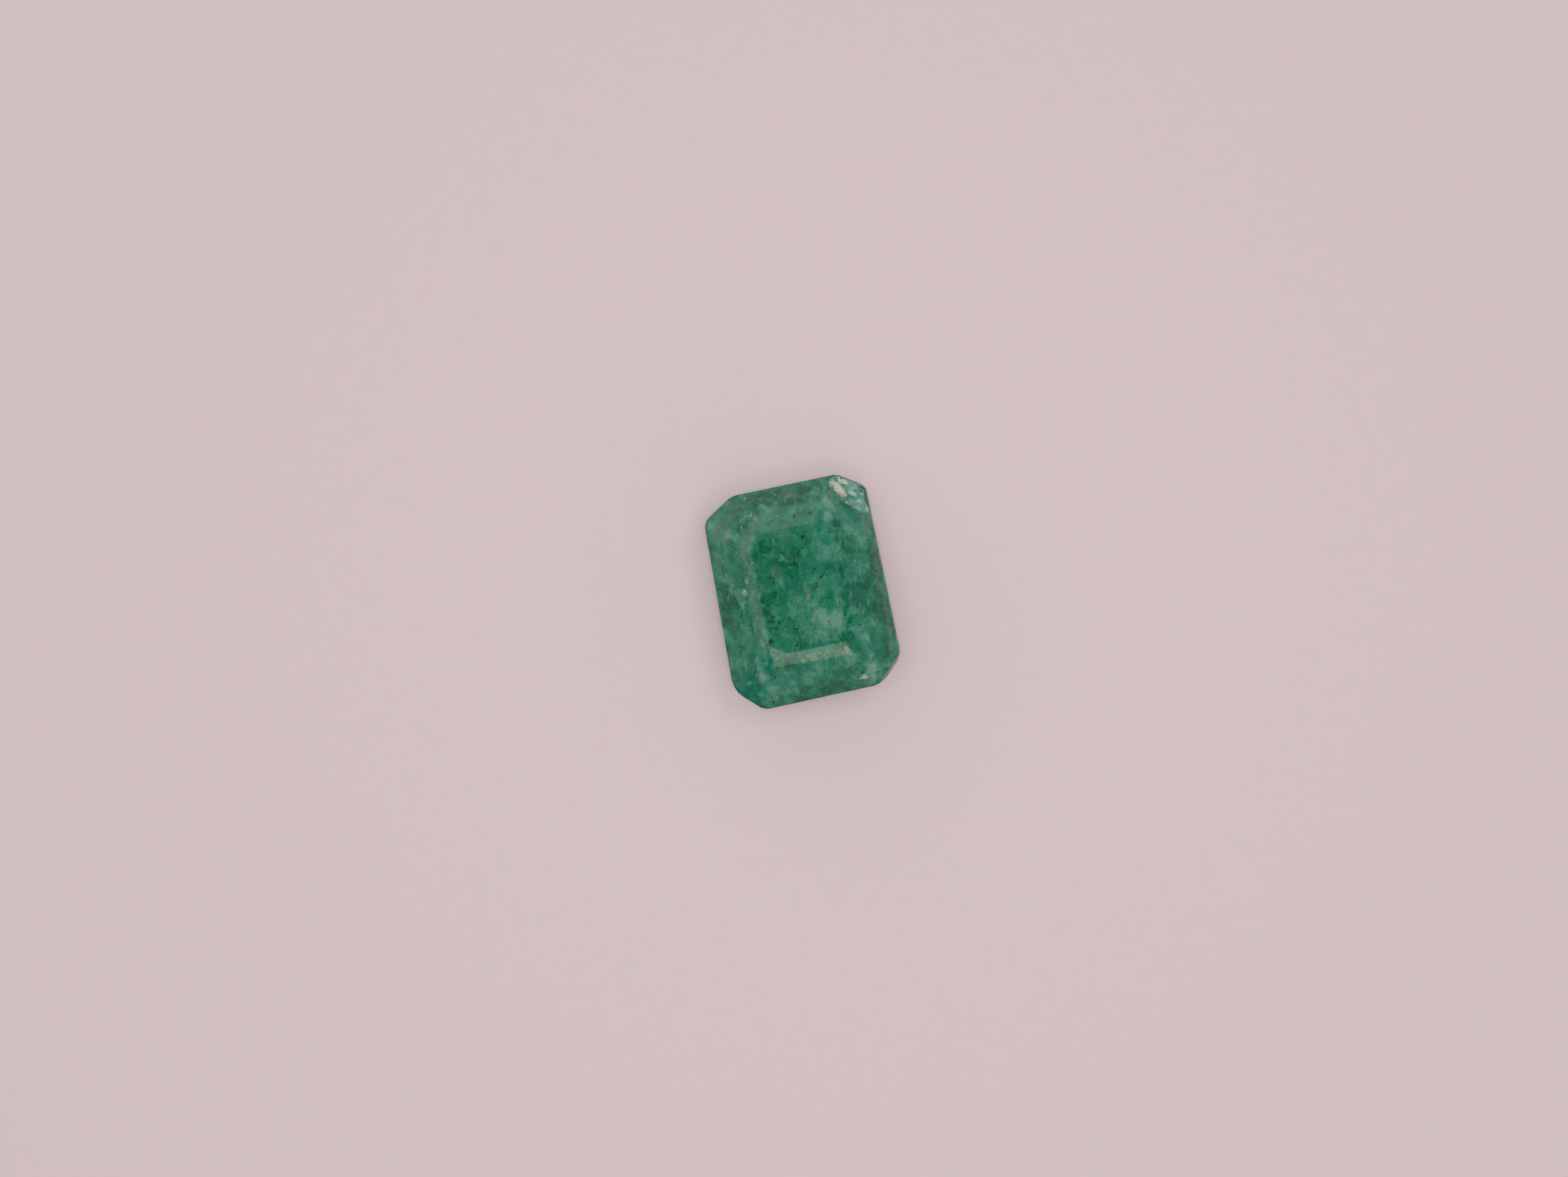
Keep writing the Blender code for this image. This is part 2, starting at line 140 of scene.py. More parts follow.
# Clouds of the crown: across, along, width, length, turn in degrees, milkiness (less than
# nothing for a clear dark place) and warmth (less than nothing for a bluish one).
CLOUDS = (
    (2.55, 3.95, 0.45, 0.75, 40, 0.5, 0.2), (2.95, 3.6, 0.55, 0.5, 0, 0.5, -0.4),
    (3.1, 2.98, 0.65, 0.6, 0, 0.6, -0.5), (3.35, 2.65, 0.3, 0.55, 0, 0.5, -0.6),
    (3.1, 3.98, 0.4, 0.4, 0, -0.5, 0.2), (-0.5, 2.4, 0.65, 0.5, -10, 0.35, 0),
    (0.85, 2.35, 0.8, 0.6, -10, 0.35, 0.2), (-0.9, 1.8, 0.45, 0.35, -10, 0.35, 0),
    (1.6, 1.35, 1.1, 0.8, -10, 0.75, 0.1), (1.15, 1.65, 0.65, 0.5, -10, 0.3, 0),
    (0.5, 1.55, 0.3, 0.35, -10, 0.5, 0.1), (-0.8, 1.05, 0.45, 0.35, -10, 0.35, 0.9),
    (-1.4, 0.45, 0.65, 0.6, 0, 0.35, -0.1), (-0.7, 0.6, 0.2, 0.5, -10, 0.4, 0.6),
    (-0.45, -0.1, 0.45, 0.6, -10, 0.5, -0.5), (0.15, 0.75, 0.5, 0.45, -10, 0.2, -0.2),
    (0.25, 0, 0.25, 0.45, 5, 0.4, 0.8), (0.25, -0.25, 0.15, 0.35, -20, 0.8, 0.5),
    (-0.5, -0.65, 0.45, 0.75, -10, 0.4, -0.2), (-1.05, -0.65, 0.5, 0.5, 0, 0.35, 0.1),
    (0.55, -1.25, 0.9, 0.8, 0, 0.6, 0.4), (1.15, -1.3, 1.05, 0.8, -10, 0.6, 0.2),
    (1.5, -0.75, 0.35, 0.45, -10, 0.3, 0.7), (0.55, -0.7, 0.45, 0.5, -10, 0.5, -0.4),
    (1.25, -1.7, 0.6, 0.45, -10, 0.5, 0.5), (0.1, -1.6, 0.65, 0.45, -10, 0.3, -0.2),
    (-0.95, -1.45, 0.65, 0.6, 0, 0.2, 0.2), (-0.2, -1.1, 0.3, 0.45, -10, 0.4, 0),
    (-0.1, -1.95, 0.45, 0.35, -10, 0.2, 0.3), (0.6, -1.75, 0.6, 0.45, -10, 0.25, 0),
    (1, -2.15, 0.3, 0.3, 0, 0.4, 0.2), (-1.1, 2.15, 0.5, 0.65, 0, -0.5, 0),
    (-0.7, 2.15, 0.9, 0.2, -55, -0.5, 0), (-0.55, 1.35, 0.95, 0.35, -25, -0.7, 0),
    (0.05, 1.65, 0.35, 0.45, -10, -0.5, 0), (-0.1, 0.95, 0.45, 0.6, -10, -0.6, 0),
    (-0.45, 0.35, 0.3, 0.45, -10, -0.8, 0), (1.95, 0.45, 0.8, 0.65, -10, -0.6, 0),
    (1.3, 0.8, 0.65, 0.35, -10, -0.4, 0), (0.55, 0.1, 0.45, 0.35, -10, -0.6, 0),
    (1.25, -0.35, 0.6, 0.6, 0, -0.6, 0), (1.9, -0.1, 0.8, 0.35, -10, -0.8, 0),
    (-1.4, 0, 0.8, 0.6, -10, -0.9, 0), (-1.55, -0.45, 0.6, 0.5, -10, -0.8, 0),
    (-0.95, -0.8, 0.3, 0.5, -10, -0.6, 0), (-1.45, -0.95, 0.45, 0.2, -10, -0.7, 0),
    (-1.4, -1.4, 0.6, 0.45, -10, -0.3, 0), (-0.5, -1.55, 0.45, 0.45, 0, -0.6, 0),
    (-1.1, -1.85, 0.5, 0.35, -10, -0.5, 0), (2.15, -0.8, 0.25, 0.8, -10, -1, 0),
    (1.5, -2.2, 0.75, 0.45, -10, -0.7, -0.4), (-0.4, -2.15, 0.65, 0.45, -10, -0.5, 0),
    (1.9, -1.55, 0.6, 0.5, -10, -0.8, -0.3), (1.3, 2.55, 0.45, 0.5, -10, -0.6, -0.2),
    (2, 2.45, 0.5, 0.35, -10, -0.8, 0), (-2.6, 3.7, 0.4, 0.5, -10, 0.35, 0.3),
    (-1.2, 3.3, 0.35, 0.4, -10, 0.3, 0.6), (-0.8, 3.8, 0.4, 0.25, -30, 0.6, 0.1),
    (-0.4, 3.45, 0.65, 0.4, -45, 0.45, -0.2), (0.35, 4.05, 0.2, 0.65, -40, 0.4, 0.4),
    (-0.25, 4.2, 0.2, 0.1, -10, 0.6, 0.1), (-1.5, 4.35, 0.35, 0.2, -35, 0.6, -0.2),
    (0.3, 3.25, 0.5, 0.25, 10, 0.4, 0.5), (1.3, 3.6, 0.5, 0.95, -20, 0.3, 0.2),
    (1.7, 2.8, 0.4, 0.5, -10, 0.6, 0.4), (1.9, 3.2, 0.35, 0.15, -10, 0.5, 0),
    (-0.45, 4.3, 1.2, 0.5, 0, -0.4, 0.2), (1.2, 4.3, 1, 0.4, 0, -0.3, 0.3),
    (-1.9, 3.9, 0.75, 0.75, 0, -0.3, 0.2), (-1.2, 3.75, 0.75, 0.65, 0, -0.35, -0.1),
    (0.9, 4.1, 0.5, 0.5, 0, -0.4, 0), (1.6, 3.05, 0.4, 0.4, 0, -0.7, 0),
    (2.05, 2.45, 0.5, 0.35, -10, -0.9, 0), (2.15, 3.35, 0.75, 0.65, 0, -0.4, 0),
    (2.5, 2.75, 0.65, 0.5, -10, -0.4, 0), (-3.1, 3.35, 0.5, 0.65, -10, 0.3, 0.3),
    (-2.45, 2.95, 0.2, 0.5, -25, 0.5, 0.8), (-2.8, 2.7, 0.5, 0.35, 10, 0.3, 0.4),
    (-3.1, 2.25, 0.6, 0.2, -55, 0.4, 0.7), (-1.85, 2.75, 0.25, 0.6, -10, 0.4, 0.3),
    (-2.2, 2.05, 0.4, 0.4, 0, 0.4, 0.3), (-2.9, 1.1, 0.35, 0.5, -10, 0.5, 0.1),
    (-2.25, 0.45, 0.25, 0.4, -10, 0.9, 0.1), (-2.6, 0.8, 0.25, 0.25, 0, 0.35, 0),
    (-1.9, 0.3, 0.5, 0.5, 0, 0.25, 0.1), (-2.1, -0.95, 0.25, 0.35, -10, 0.5, 0.2),
    (-2.6, -0.9, 0.35, 0.25, -10, 0.3, 0.2), (-1.85, -0.6, 0.2, 0.5, -10, 0.1, 0.9),
    (-3.05, -1.4, 0.5, 0.4, -10, 0.25, -0.3), (-2.95, -2.35, 0.5, 0.35, -10, 0.4, -0.3),
    (-2.8, -2.55, 0.15, 0.4, -10, 0.5, 0.6), (-3.3, -2.4, 0.35, 0.35, 0, 0.3, 0.3),
    (-2.35, -3.2, 0.35, 0.4, -10, 0.6, 0), (-3.1, 0.8, 0.5, 0.35, -10, -0.6, 0),
    (-2.95, 0.1, 0.75, 0.6, -10, -0.4, 0), (-2.75, 1.7, 0.5, 0.5, 0, -0.2, -0.7),
    (-3.15, -0.65, 0.65, 0.5, -10, -0.4, 0), (-3.35, -1.65, 0.35, 0.25, -10, -0.5, -0.4),
    (-3.3, -2.85, 0.65, 0.5, -10, -0.5, -0.1), (-3, -2.35, 0.5, 0.4, -10, 0.4, -0.3),
    (-2.35, -2.75, 0.2, 0.2, 0, 0.6, -0.1), (-2.25, -3.15, 0.3, 0.4, -10, 0.65, 0),
    (-2.8, -3.25, 0.45, 0.25, 20, 0.6, -0.4), (-1.9, -3.75, 0.6, 0.9, -10, 0.35, 0.1),
    (-0.55, -3.55, 1.2, 0.7, -10, 0.3, -0.1), (0.15, -3.2, 0.5, 0.5, 0, 0.25, 0.5),
    (1.85, -3.95, 0.35, 0.25, -10, 1, 0.2), (2.05, -3.85, 0.3, 0.4, -10, 0.5, -0.6),
    (1.3, -3.15, 0.4, 0.4, 0, 0.5, -0.1), (1.75, -3.25, 0.35, 0.15, -10, 0.3, 0.8),
    (2.15, -3.55, 0.4, 0.6, -10, 0.4, 0), (2.1, -2.55, 0.6, 0.6, 0, 0.5, -0.3),
    (2.45, -3.05, 0.5, 0.6, -10, 0.4, 0.2), (3, -3.55, 0.35, 0.75, -50, 0.4, 0.2),
    (0, -2.65, 0.6, 0.4, -10, 0.5, 0.3), (1.35, -2.8, 0.4, 0.5, -10, 0.7, 0.9),
    (3.2, -2.9, 0.3, 0.6, -10, 0.4, 0.6), (-2.7, -2.95, 0.6, 0.5, -10, -0.7, -0.2),
    (-2.95, -3.7, 0.6, 0.6, 0, -0.3, 0), (-1.9, -2.9, 0.5, 0.4, -10, -0.7, -0.1),
    (-0.75, -3.3, 0.3, 0.6, -10, -0.4, 0), (0.55, -4.1, 1.1, 0.55, 0, -0.6, 0.3),
    (1.15, -3.6, 0.8, 0.5, -10, -0.6, 0), (-1.1, -4.2, 0.6, 0.5, -10, -0.5, 0),
    (2.75, -3.2, 0.6, 0.8, -10, -0.7, 0), (1.75, -2.6, 0.5, 0.6, -10, -0.6, -0.3),
    (2.8, 1.7, 0.65, 0.75, 0, 0.35, -0.1), (3, 1.6, 0.15, 0.4, -30, 0.5, 0.2),
    (2.3, 2.1, 0.4, 0.5, -10, 0.3, 0.1), (2.35, 0.6, 0.65, 0.75, 0, 0.3, -0.3),
    (3.15, 2.85, 0.5, 0.35, -10, 0.4, -0.2), (2.6, -1.85, 0.65, 0.4, -10, 0.3, 0),
    (2.15, -2.45, 0.4, 0.6, -10, 0.5, -0.1), (3.15, 0.95, 0.25, 0.75, 0, -0.5, 0),
    (2.05, 0.45, 0.65, 0.5, -10, -0.5, 0), (3, 0.1, 0.5, 0.5, 0, -0.4, 0),
    (2.3, -0.25, 0.95, 0.35, -10, -0.9, 0), (2.95, -1.3, 0.65, 0.6, -10, -0.5, 0),
    (1.6, -1.75, 0.15, 0.4, -30, -0.9, 0), (3, -2.8, 0.5, 0.75, -10, -0.6, 0.2),
    # The narrow warm patches at 3.25 to 3.4 across are a painted reflection of a brownish thing in
    # the right step facets.
    (2.1, 2.5, 0.25, 0.25, 0, -0.8, 0), (3.25, 1.1, 0.25, 0.45, 0, 0.1, 1),
    (3.3, 0.6, 0.25, 0.6, 0, 0.2, 0.8), (3.25, -0.5, 0.25, 0.4, 0, 0.3, 0.9),
    (3.3, -1.4, 0.25, 0.65, 0, 0.1, 0.8), (3.3, -2.25, 0.25, 0.95, 0, 0.1, 0.7),
    (3.4, 2.4, 0.25, 0.5, 0, 0.1, 0.6),
)

# Broad soft clouds of the crown, in the same columns.
BROAD_CLOUDS = (
    (1.9, 2.75, 1.6, 1, -10, 0.9, -0.5), (1.3, 2, 1, 0.9, -10, 0.75, -0.3),
    (2.6, 2.5, 0.9, 1.4, 0, 0.6, -0.5), (1.3, 1.35, 1, 0.8, -10, 0.4, -0.6),
    (2.2, 0.4, 0.6, 1.6, 0, 0.6, -0.5), (1.5, -0.1, 0.5, 0.9, -10, 0.5, -0.2),
    (-1.1, 1.75, 1, 1.4, -10, -0.35, 0), (-0.2, 1.1, 1.2, 0.9, -20, -0.45, 0),
    (0.5, 0.6, 0.5, 0.6, 0, -0.4, -0.3), (-1.5, -0.6, 0.4, 2.4, -3, -0.3, -0.1),
    (-1.2, -1.7, 0.8, 0.8, 0, -0.25, -0.1), (0.5, -1.15, 0.9, 1, 0, 0.8, 0.15),
    (1.3, -1.35, 0.9, 0.8, 0, 0.5, 0), (0.3, -1.95, 1.4, 0.6, -8, 0.75, -0.1),
    (1.4, -1.95, 0.7, 0.5, -8, 0.6, -0.1), (-0.1, -0.7, 0.9, 0.9, 0, 0.3, 0),
    (2.25, -0.55, 0.5, 0.8, -10, -0.9, -0.2), (2.3, -1, 0.5, 0.6, 0, -0.6, 0),
    # The long narrow dark warm stripes at 3.2 across, here and on rows below, are a painted
    # reflection of a brownish thing in the right step facets.
    (2.75, -0.6, 0.6, 1.6, 0, -0.5, 0), (3.2, 0.2, 0.35, 3.6, 0, -0.7, 0.5),
    (3.2, -1.6, 0.3, 1.4, 0, -0.5, 0.4), (2.2, -2.1, 0.8, 0.9, 0, 0.75, -0.3),
    (2.75, -2.9, 0.6, 1, -10, -0.1, -0.7), (2.7, -2, 0.5, 0.6, 0, 0.15, -0.2),
    (-3, -0.4, 0.9, 2.4, 0, -0.65, -0.2), (-2.2, -0.1, 0.6, 0.9, 0, -0.4, -0.1),
    (-2.9, -2, 0.9, 0.6, 0, 0.3, -0.1), (-2.9, -3.2, 0.9, 1.3, -10, -0.3, -0.6),
    (-2.2, -3, 0.5, 0.6, -10, 0.8, -0.5), (-2.8, 3.2, 0.9, 0.8, 0, 0, 0.6),
    (-1.55, 2.85, 0.5, 0.9, -15, 0.45, 0.7), (-1.9, 2.2, 0.5, 0.9, -10, 0.3, 0.4),
    (-3.15, 2.2, 0.35, 1.2, 0, 0, 0.35), (-0.4, 4.15, 3.2, 0.5, 0, -0.35, 0.2),
    (0.35, 4.1, 0.9, 0.5, -10, 0, 0.5), (0.4, 3.6, 1.1, 0.35, 0, -0.5, 0.15),
    (2.1, 3.45, 0.7, 0.8, 0, 0.9, 0), (1.65, 3.15, 0.5, 0.5, 0, 0.7, -0.1),
    (3.2, 2.3, 0.5, 1, 0, 0.5, 0.2), (0, -3.15, 0.5, 0.5, 0, 0.75, 0),
    (-1.2, -3.4, 1.3, 0.7, 0, 0.3, -0.3), (-0.4, -3.6, 0.6, 0.5, 0, 0.4, -0.1),
    (1.5, -3.1, 0.5, 0.5, 0, 0.6, 0), (2.15, -3.65, 0.5, 0.5, 0, 0.7, 0),
    (0.5, -4.1, 1.3, 0.45, 0, -0.5, 0.1), (-1.3, -4.15, 0.9, 0.5, 0, -0.3, -0.2),
    (0, -2.7, 0.6, 0.35, 0, 0.4, 0.1), (-1.1, -2.65, 0.9, 0.35, -5, -0.5, 0),
    (0, -2.4, 6.5, 4.5, 0, 0.18, 0), (1.5, -0.3, 1.2, 1.6, 0, 0.25, -0.2),
    (-3.05, -3.6, 0.7, 0.8, 0, 0.45, -0.2), (-2.2, -3.1, 0.6, 0.6, 0, 0.4, -0.2),
    (2.75, -3.1, 0.6, 0.8, 0, 0.15, -0.4), (0.1, -2.9, 0.8, 0.8, 0, 0.55, 0),
    (1.5, -2.85, 0.6, 0.7, 0, 0.5, 0), (-2.2, 3.3, 0.7, 1, 0, -0.4, 0.5),
    (-1.65, 2.4, 0.4, 0.9, -15, 0.6, 0.4), (2.15, 3.35, 0.7, 0.9, 0, 0.6, 0.1),
    (1, 2.6, 0.6, 0.5, 0, 0.6, 0.1), (1.2, 1.5, 1.3, 1.2, 0, -0.1, -0.5),
    (3.2, 2, 0.5, 0.9, 0, 0.3, 0.5), (3.2, 0.75, 0.4, 1.2, 0, -0.5, 0.2),
    (-1.5, -1, 0.5, 0.9, 0, -0.3, 0), (-1.05, -0.55, 0.5, 0.5, 0, -0.3, 0),
    (0.75, 1, 0.9, 0.6, 0, -0.3, -0.2), (-2.95, 3.1, 0.9, 1.1, 0, 0.05, 0.6),
    (-2.8, 2, 1.3, 3, 0, 0.3, 0.25), (-2.2, 2.35, 0.5, 0.9, 0, 0.1, 0.3),
    (-1.5, 2.3, 0.5, 1.1, -10, 0.35, 0), (-1, 0.6, 0.6, 1.4, -10, 0, 0.4),
    (-2.9, -1, 1, 0.8, 0, -0.4, -0.1), (-1.3, -1.5, 0.8, 1.6, 0, -0.15, -0.35),
    (-1.8, -2.75, 1.5, 0.5, 0, 0.05, -0.5), (-2.85, -3.3, 0.9, 1, 0, 0, -0.4),
    (-2.2, -3.15, 0.5, 0.6, 0, 0.35, -0.4), (-1.5, -3.15, 0.7, 0.5, 0, 0.35, 0),
    (-0.25, -3.45, 1.3, 0.8, 0, 0.35, 0), (-2.45, -4.05, 0.9, 0.5, -35, 0.55, 0.2),
    (-0.5, -4.15, 0.7, 0.4, 0, 0.4, -0.3), (2.35, -4, 0.9, 0.6, 40, 0.5, 0.1),
    (2.2, -3.55, 0.7, 0.5, 0, 0.35, 0), (2.7, -3.15, 0.5, 0.7, 0, 0, -0.4),
    (3.25, -3, 0.4, 0.8, 0, 0.45, 0), (2.2, -0.75, 0.6, 1, 0, -0.2, -0.35),
    (1.45, 0, 0.6, 0.7, 0, 0.05, -0.4), (1, 2.5, 0.6, 0.5, 0, 0.35, 0.1),
    (1.9, 3.25, 1.3, 1, 0, 0.4, 0.1), (2.7, 1.55, 0.6, 1, 0, 0.45, 0.1),
    (3.25, 0.75, 0.4, 1.2, 0, -0.3, 0), (-1.6, 4, 2.6, 0.7, 0, -0.25, 0.2),
    (0.5, 3.7, 1, 0.5, 0, -0.45, 0), (1, 4.1, 0.8, 0.4, 0, -0.4, 0.2),
    (0.6, -2.72, 2.4, 0.45, 0, 0.15, 0.6),
)

# Crown facets painted paler, warmer and more even all over, a painted reflection haze: a
# place across and along on each, milkiness, warmth and evenness.
PAINTED_SHEEN_FACETS = (
    (0, 3.05, 0.1, 0.55, 0.55), (-1.9, 0, 0.1, 0.15, 0.1),
)

# Milky spots: across, along, width, length, turn in degrees, whiteness.
MILKY_SPOTS = (
    (-2.23, 0.45, 0.29, 0.42, -15, 0.54), (-2.25, -3.15, 0.26, 0.34, -10, 0.6),
    (-2.35, -2.77, 0.14, 0.14, 0, 0.3), (-0.84, 3.79, 0.17, 0.36, 50, 0.34),
    (1.9, -3.97, 0.36, 0.25, -10, 1.3), (1.71, -4, 0.14, 0.13, 0, 1.1),
    (2.1, -3.82, 0.22, 0.26, 0, 0.62), (-1.49, 4.28, 0.14, 0.16, 20, 0.35),
    (-0.24, 4.15, 0.14, 0.08, -10, 0.55), (-0.34, 3.25, 0.14, 0.1, 0, 0.45),
    (-2.85, -3.25, 0.11, 0.3, -60, 0.52), (-2.66, -3.3, 0.07, 0.1, 0, 0.4),
    (-1.2, -4.05, 0.05, 0.04, 0, 0.85), (-2.87, 1.35, 0.1, 0.15, 0, 0.6),
    (-1.46, -2.5, 0.05, 0.05, 0, 0.3),
)

# Tan flecks: across, along, width, length, turn in degrees, paleness.
TAN_FLECKS = (
    (-1.7, 1.58, 0.11, 0.11, 0, 0.7), (-1.22, 3.28, 0.15, 0.34, 0, 0.35),
    (-2.55, 2.82, 0.11, 0.14, -15, 0.7), (-2.38, 3.07, 0.08, 0.14, -20, 0.65),
    (-2.95, 2.1, 0.11, 0.12, 30, 0.6), (-2.14, 1.94, 0.11, 0.12, 0, 0.4),
    (-3, 1.13, 0.14, 0.11, 0, 0.8), (-2.95, 0.73, 0.07, 0.06, 0, 0.7),
    (-2.27, 0.81, 0.08, 0.18, 65, 0.35), (-1.8, 3.02, 0.07, 0.08, 0, 0.7),
    (0.14, 3.78, 0.08, 0.12, 30, 0.65), (0.35, 4, 0.09, 0.42, -38, 0.25),
    (0.41, 3.32, 0.06, 0.13, 75, 0.6), (0.8, 3.02, 0.08, 0.05, 0, 0.75),
    (1.2, 3.08, 0.07, 0.05, 0, 0.45), (2.03, 2.29, 0.1, 0.05, 0, 0.6),
    (1.22, 0.6, 0.07, 0.2, -25, 0.45), (-0.69, 0.6, 0.06, 0.2, -25, 0.4),
    (2.07, 0.08, 0.09, 0.05, -20, 0.7), (0.22, -0.05, 0.2, 0.2, 0, 0.2),
    (0.27, -0.27, 0.12, 0.22, -15, 0.9), (-0.28, -0.62, 0.07, 0.15, 10, 0.55),
    (-0.42, -0.89, 0.09, 0.06, 30, 0.3), (-0.58, -1.05, 0.07, 0.1, 0, 0.35),
    (-0.45, -1.05, 0.06, 0.19, 10, 0.4), (-0.48, -1.37, 0.08, 0.1, 0, 0.65),
    (-0.56, -1.86, 0.06, 0.13, 10, 0.55), (-0.23, -1.78, 0.12, 0.17, 0, 0.2),
    (-0.66, -2.26, 0.06, 0.2, 10, 0.5), (-0.52, -2.45, 0.05, 0.12, 20, 0.35),
    (1.41, -0.65, 0.11, 0.13, 0, 0.75), (1.43, -0.87, 0.07, 0.07, 0, 0.65),
    (2.26, -1.08, 0.07, 0.22, 0, 0.7), (2.3, -1.33, 0.06, 0.2, -10, 0.75),
    (2.12, -1.32, 0.18, 0.12, 0, 0.15), (2.17, -1.79, 0.03, 0.05, 0, 0.8),
    (0.25, -2.17, 0.04, 0.13, 0, 0.45), (2, -2.33, 0.05, 0.05, 0, 0.7),
    (1.38, -2.72, 0.26, 0.34, 20, 0.75), (1.64, -3.01, 0.07, 0.05, 0, 0.8),
    (1.72, -3.24, 0.24, 0.12, 0, 0.15), (1.3, -3.4, 0.05, 0.28, -50, 0.45),
    (1.18, -3.97, 0.09, 0.05, 0, 0.65), (-0.99, -3.93, 0.1, 0.05, 0, 0.8),
    (-1.97, -3.94, 0.05, 0.24, -20, 0.6), (-2.83, -2.5, 0.1, 0.26, -15, 0.5),
    (-1.8, -2.33, 0.05, 0.05, 0, 0.6), (-2.67, -1.87, 0.05, 0.05, 0, 0.6),
    (-2.66, -0.86, 0.1, 0.08, 0, 0.35), (-2.12, -1.02, 0.05, 0.12, 70, 0.45),
    (3.14, 1.9, 0.08, 0.12, 0, 0.4), (2.95, -3.7, 0.12, 0.3, -60, 0.45),
)

# Fibres and crack lines: points across and along, half width, darkness.
FIBRES = (
    (((-2.81, 0.76), (-2.76, 0.58), (-2.66, 0.44), (-2.62, 0.2)), 0.026, 0),
    (((-3.06, 2.41), (-3.03, 2.22), (-2.95, 2.05)), 0.024, 0),
    (((-1.12, -1.07), (-1.34, -0.98), (-1.55, -0.95)), 0.018, 1),
    (((-2.25, -0.7), (-2.22, -0.95), (-2.26, -1.24)), 0.034, 1),
    (((1.44, -1.99), (1.8, -1.94), (2.12, -2.02), (2.4, -1.98)), 0.015, 0.4),
    (((2.22, -1.72), (2.55, -1.6), (2.92, -1.58), (3.2, -1.68)), 0.015, 0.4),
    (((2.1, -0.8), (2.14, -0.96), (2.09, -1.12)), 0.04, 1),
    (((1.5, -1.97), (1.62, -1.8), (1.7, -1.66), (1.84, -1.52)), 0.026, 1),
)

# Rings of tiny bubbles: across, along, radius, paleness.
RINGS = (
    (-0.01, 1.36, 0.075, 0.6), (-1.93, -0.98, 0.08, 0.15),
)

# Room left under the broken corner: across, along, up, reach and extra depth.
CORNER_HOLLOWS = (
    (2.9, 3.42, 3.55, 0.98, 0.26), (2.38, 3.88, 3.6, 0.36, 0.34), (3.02, 3.02, 3.6, 0.45, 0.34),
)

# Crusts of bruised stone on the broken corner: points across and along, half widths there,
# and paleness.
CORNER_CRUSTS = (
    (((2.1, 4.27), (2.26, 4.12), (2.46, 3.84), (2.62, 3.38)), (0.11, 0.16, 0.23, 0.15), 0.95),
    (((2.42, 4.26), (2.56, 4.18), (2.74, 4.11), (2.9, 4)), (0.09, 0.14, 0.14, 0.08), 0.75),
    (((2.76, 3.76), (2.88, 3.66), (3, 3.54), (3.08, 3.4)), (0.07, 0.13, 0.12, 0.06), 0.5),
    (((2.59, 3.34), (2.64, 3.26), (2.69, 3.17), (2.76, 3.08)), (0.03, 0.05, 0.05, 0.02), 0.85),
    (((2.72, 3.36), (2.78, 3.31), (2.84, 3.25), (2.91, 3.16)), (0.02, 0.03, 0.03, 0.02), 0.7),
    (((3.02, 3.26), (3.12, 3.22), (3.22, 3.16), (3.34, 3.06)), (0.02, 0.04, 0.04, 0.02), 0.85),
    (((3.08, 3.6), (3.2, 3.56), (3.3, 3.48), (3.4, 3.4)), (0.03, 0.06, 0.06, 0.03), 0.45),
    (((2.78, 3.12), (2.95, 3), (3.1, 2.9), (3.24, 2.84)), (0.04, 0.09, 0.08, 0.04), 0.3),
)


# ---------------------------------------------------------------- settings


def length_setting(name, description, millimetres):
    """A length that a user may change, given in millimetres."""
    default = millimetres * MM
    return bpy.props.FloatProperty(
        name=name, description=description, default=default, unit="LENGTH", precision=6
    )


def colour_setting(name, description, default):
    """A colour that a user may change."""
    return bpy.props.FloatVectorProperty(
        name=name, description=description, default=default, subtype="COLOR"
    )


class StoneSettings(bpy.types.PropertyGroup):
    """The polished stone itself."""

    edge_wear: length_setting("Edge wear", "Width of the worn line along each facet edge", 0.002)
    ior: bpy.props.FloatProperty(
        name="Refraction", description="Refractive index of emerald", default=1.577
    )
    tint: colour_setting("Body colour", "What the clear stone lets through", (0.04, 0.80, 0.50))
    tint_density: bpy.props.FloatProperty(
        name="Colour strength",
        description="How strongly the clear stone takes light away, per metre",
        default=500.0,
    )


class HeartSettings(bpy.types.PropertyGroup):
    """The mossy cloud that fills the middle of the stone."""

    depth: length_setting("Clear skin", "Least depth of clear stone over the heart", 0.09)
    relief: length_setting("Relief", "How much deeper the hollows of the heart lie", 0.28)
    dark: colour_setting(
        "Deep green", "Colour of the clearest, deepest parts", (0.019, 0.325, 0.182)
    )
    middle: colour_setting("Moss green", "Colour of the ordinary clouds", (0.080, 0.462, 0.304))
    pale: colour_setting("Milky green", "Colour of the thickest clouds", (0.198, 0.595, 0.450))
    # The warm colour also carries painted reflections: the haze on the paler crown facets and the
    # brownish stripe along the right side.
    warm: colour_setting("Rusty tan", "Colour of the stained places", (0.360, 0.425, 0.335))
    cool: colour_setting("Sea green", "Colour of the bluish places", (0.040, 0.470, 0.400))


class GrainSettings(bpy.types.PropertyGroup):
    """The grains, spots, flecks, cracks and fibres caught in the stone."""

    cover: length_setting("Cover", "Depth of clear stone over a grain", 0.012)
    crack_count: bpy.props.IntProperty(
        name="Healed cracks",
        description="Number of small healed cracks strewn under the crown",
        default=300,
    )


class StageSettings(bpy.types.PropertyGroup):
    """The floor, the light and the camera."""

    floor: colour_setting("Floor", "Colour of the pale floor", (0.420, 0.352, 0.355))
    frame_width: length_setting("Frame width", "Width of floor that the camera sees", 65.3)
    camera_height: length_setting("Camera height", "Height of the camera over the girdle", 150.0)
    turn: bpy.props.FloatProperty(
        name="Turn",
        description="How far the camera is turned about its own axis",
        default=math.radians(-11.8),
        subtype="ANGLE",
    )


# ---------------------------------------------------------------- mesh helpers


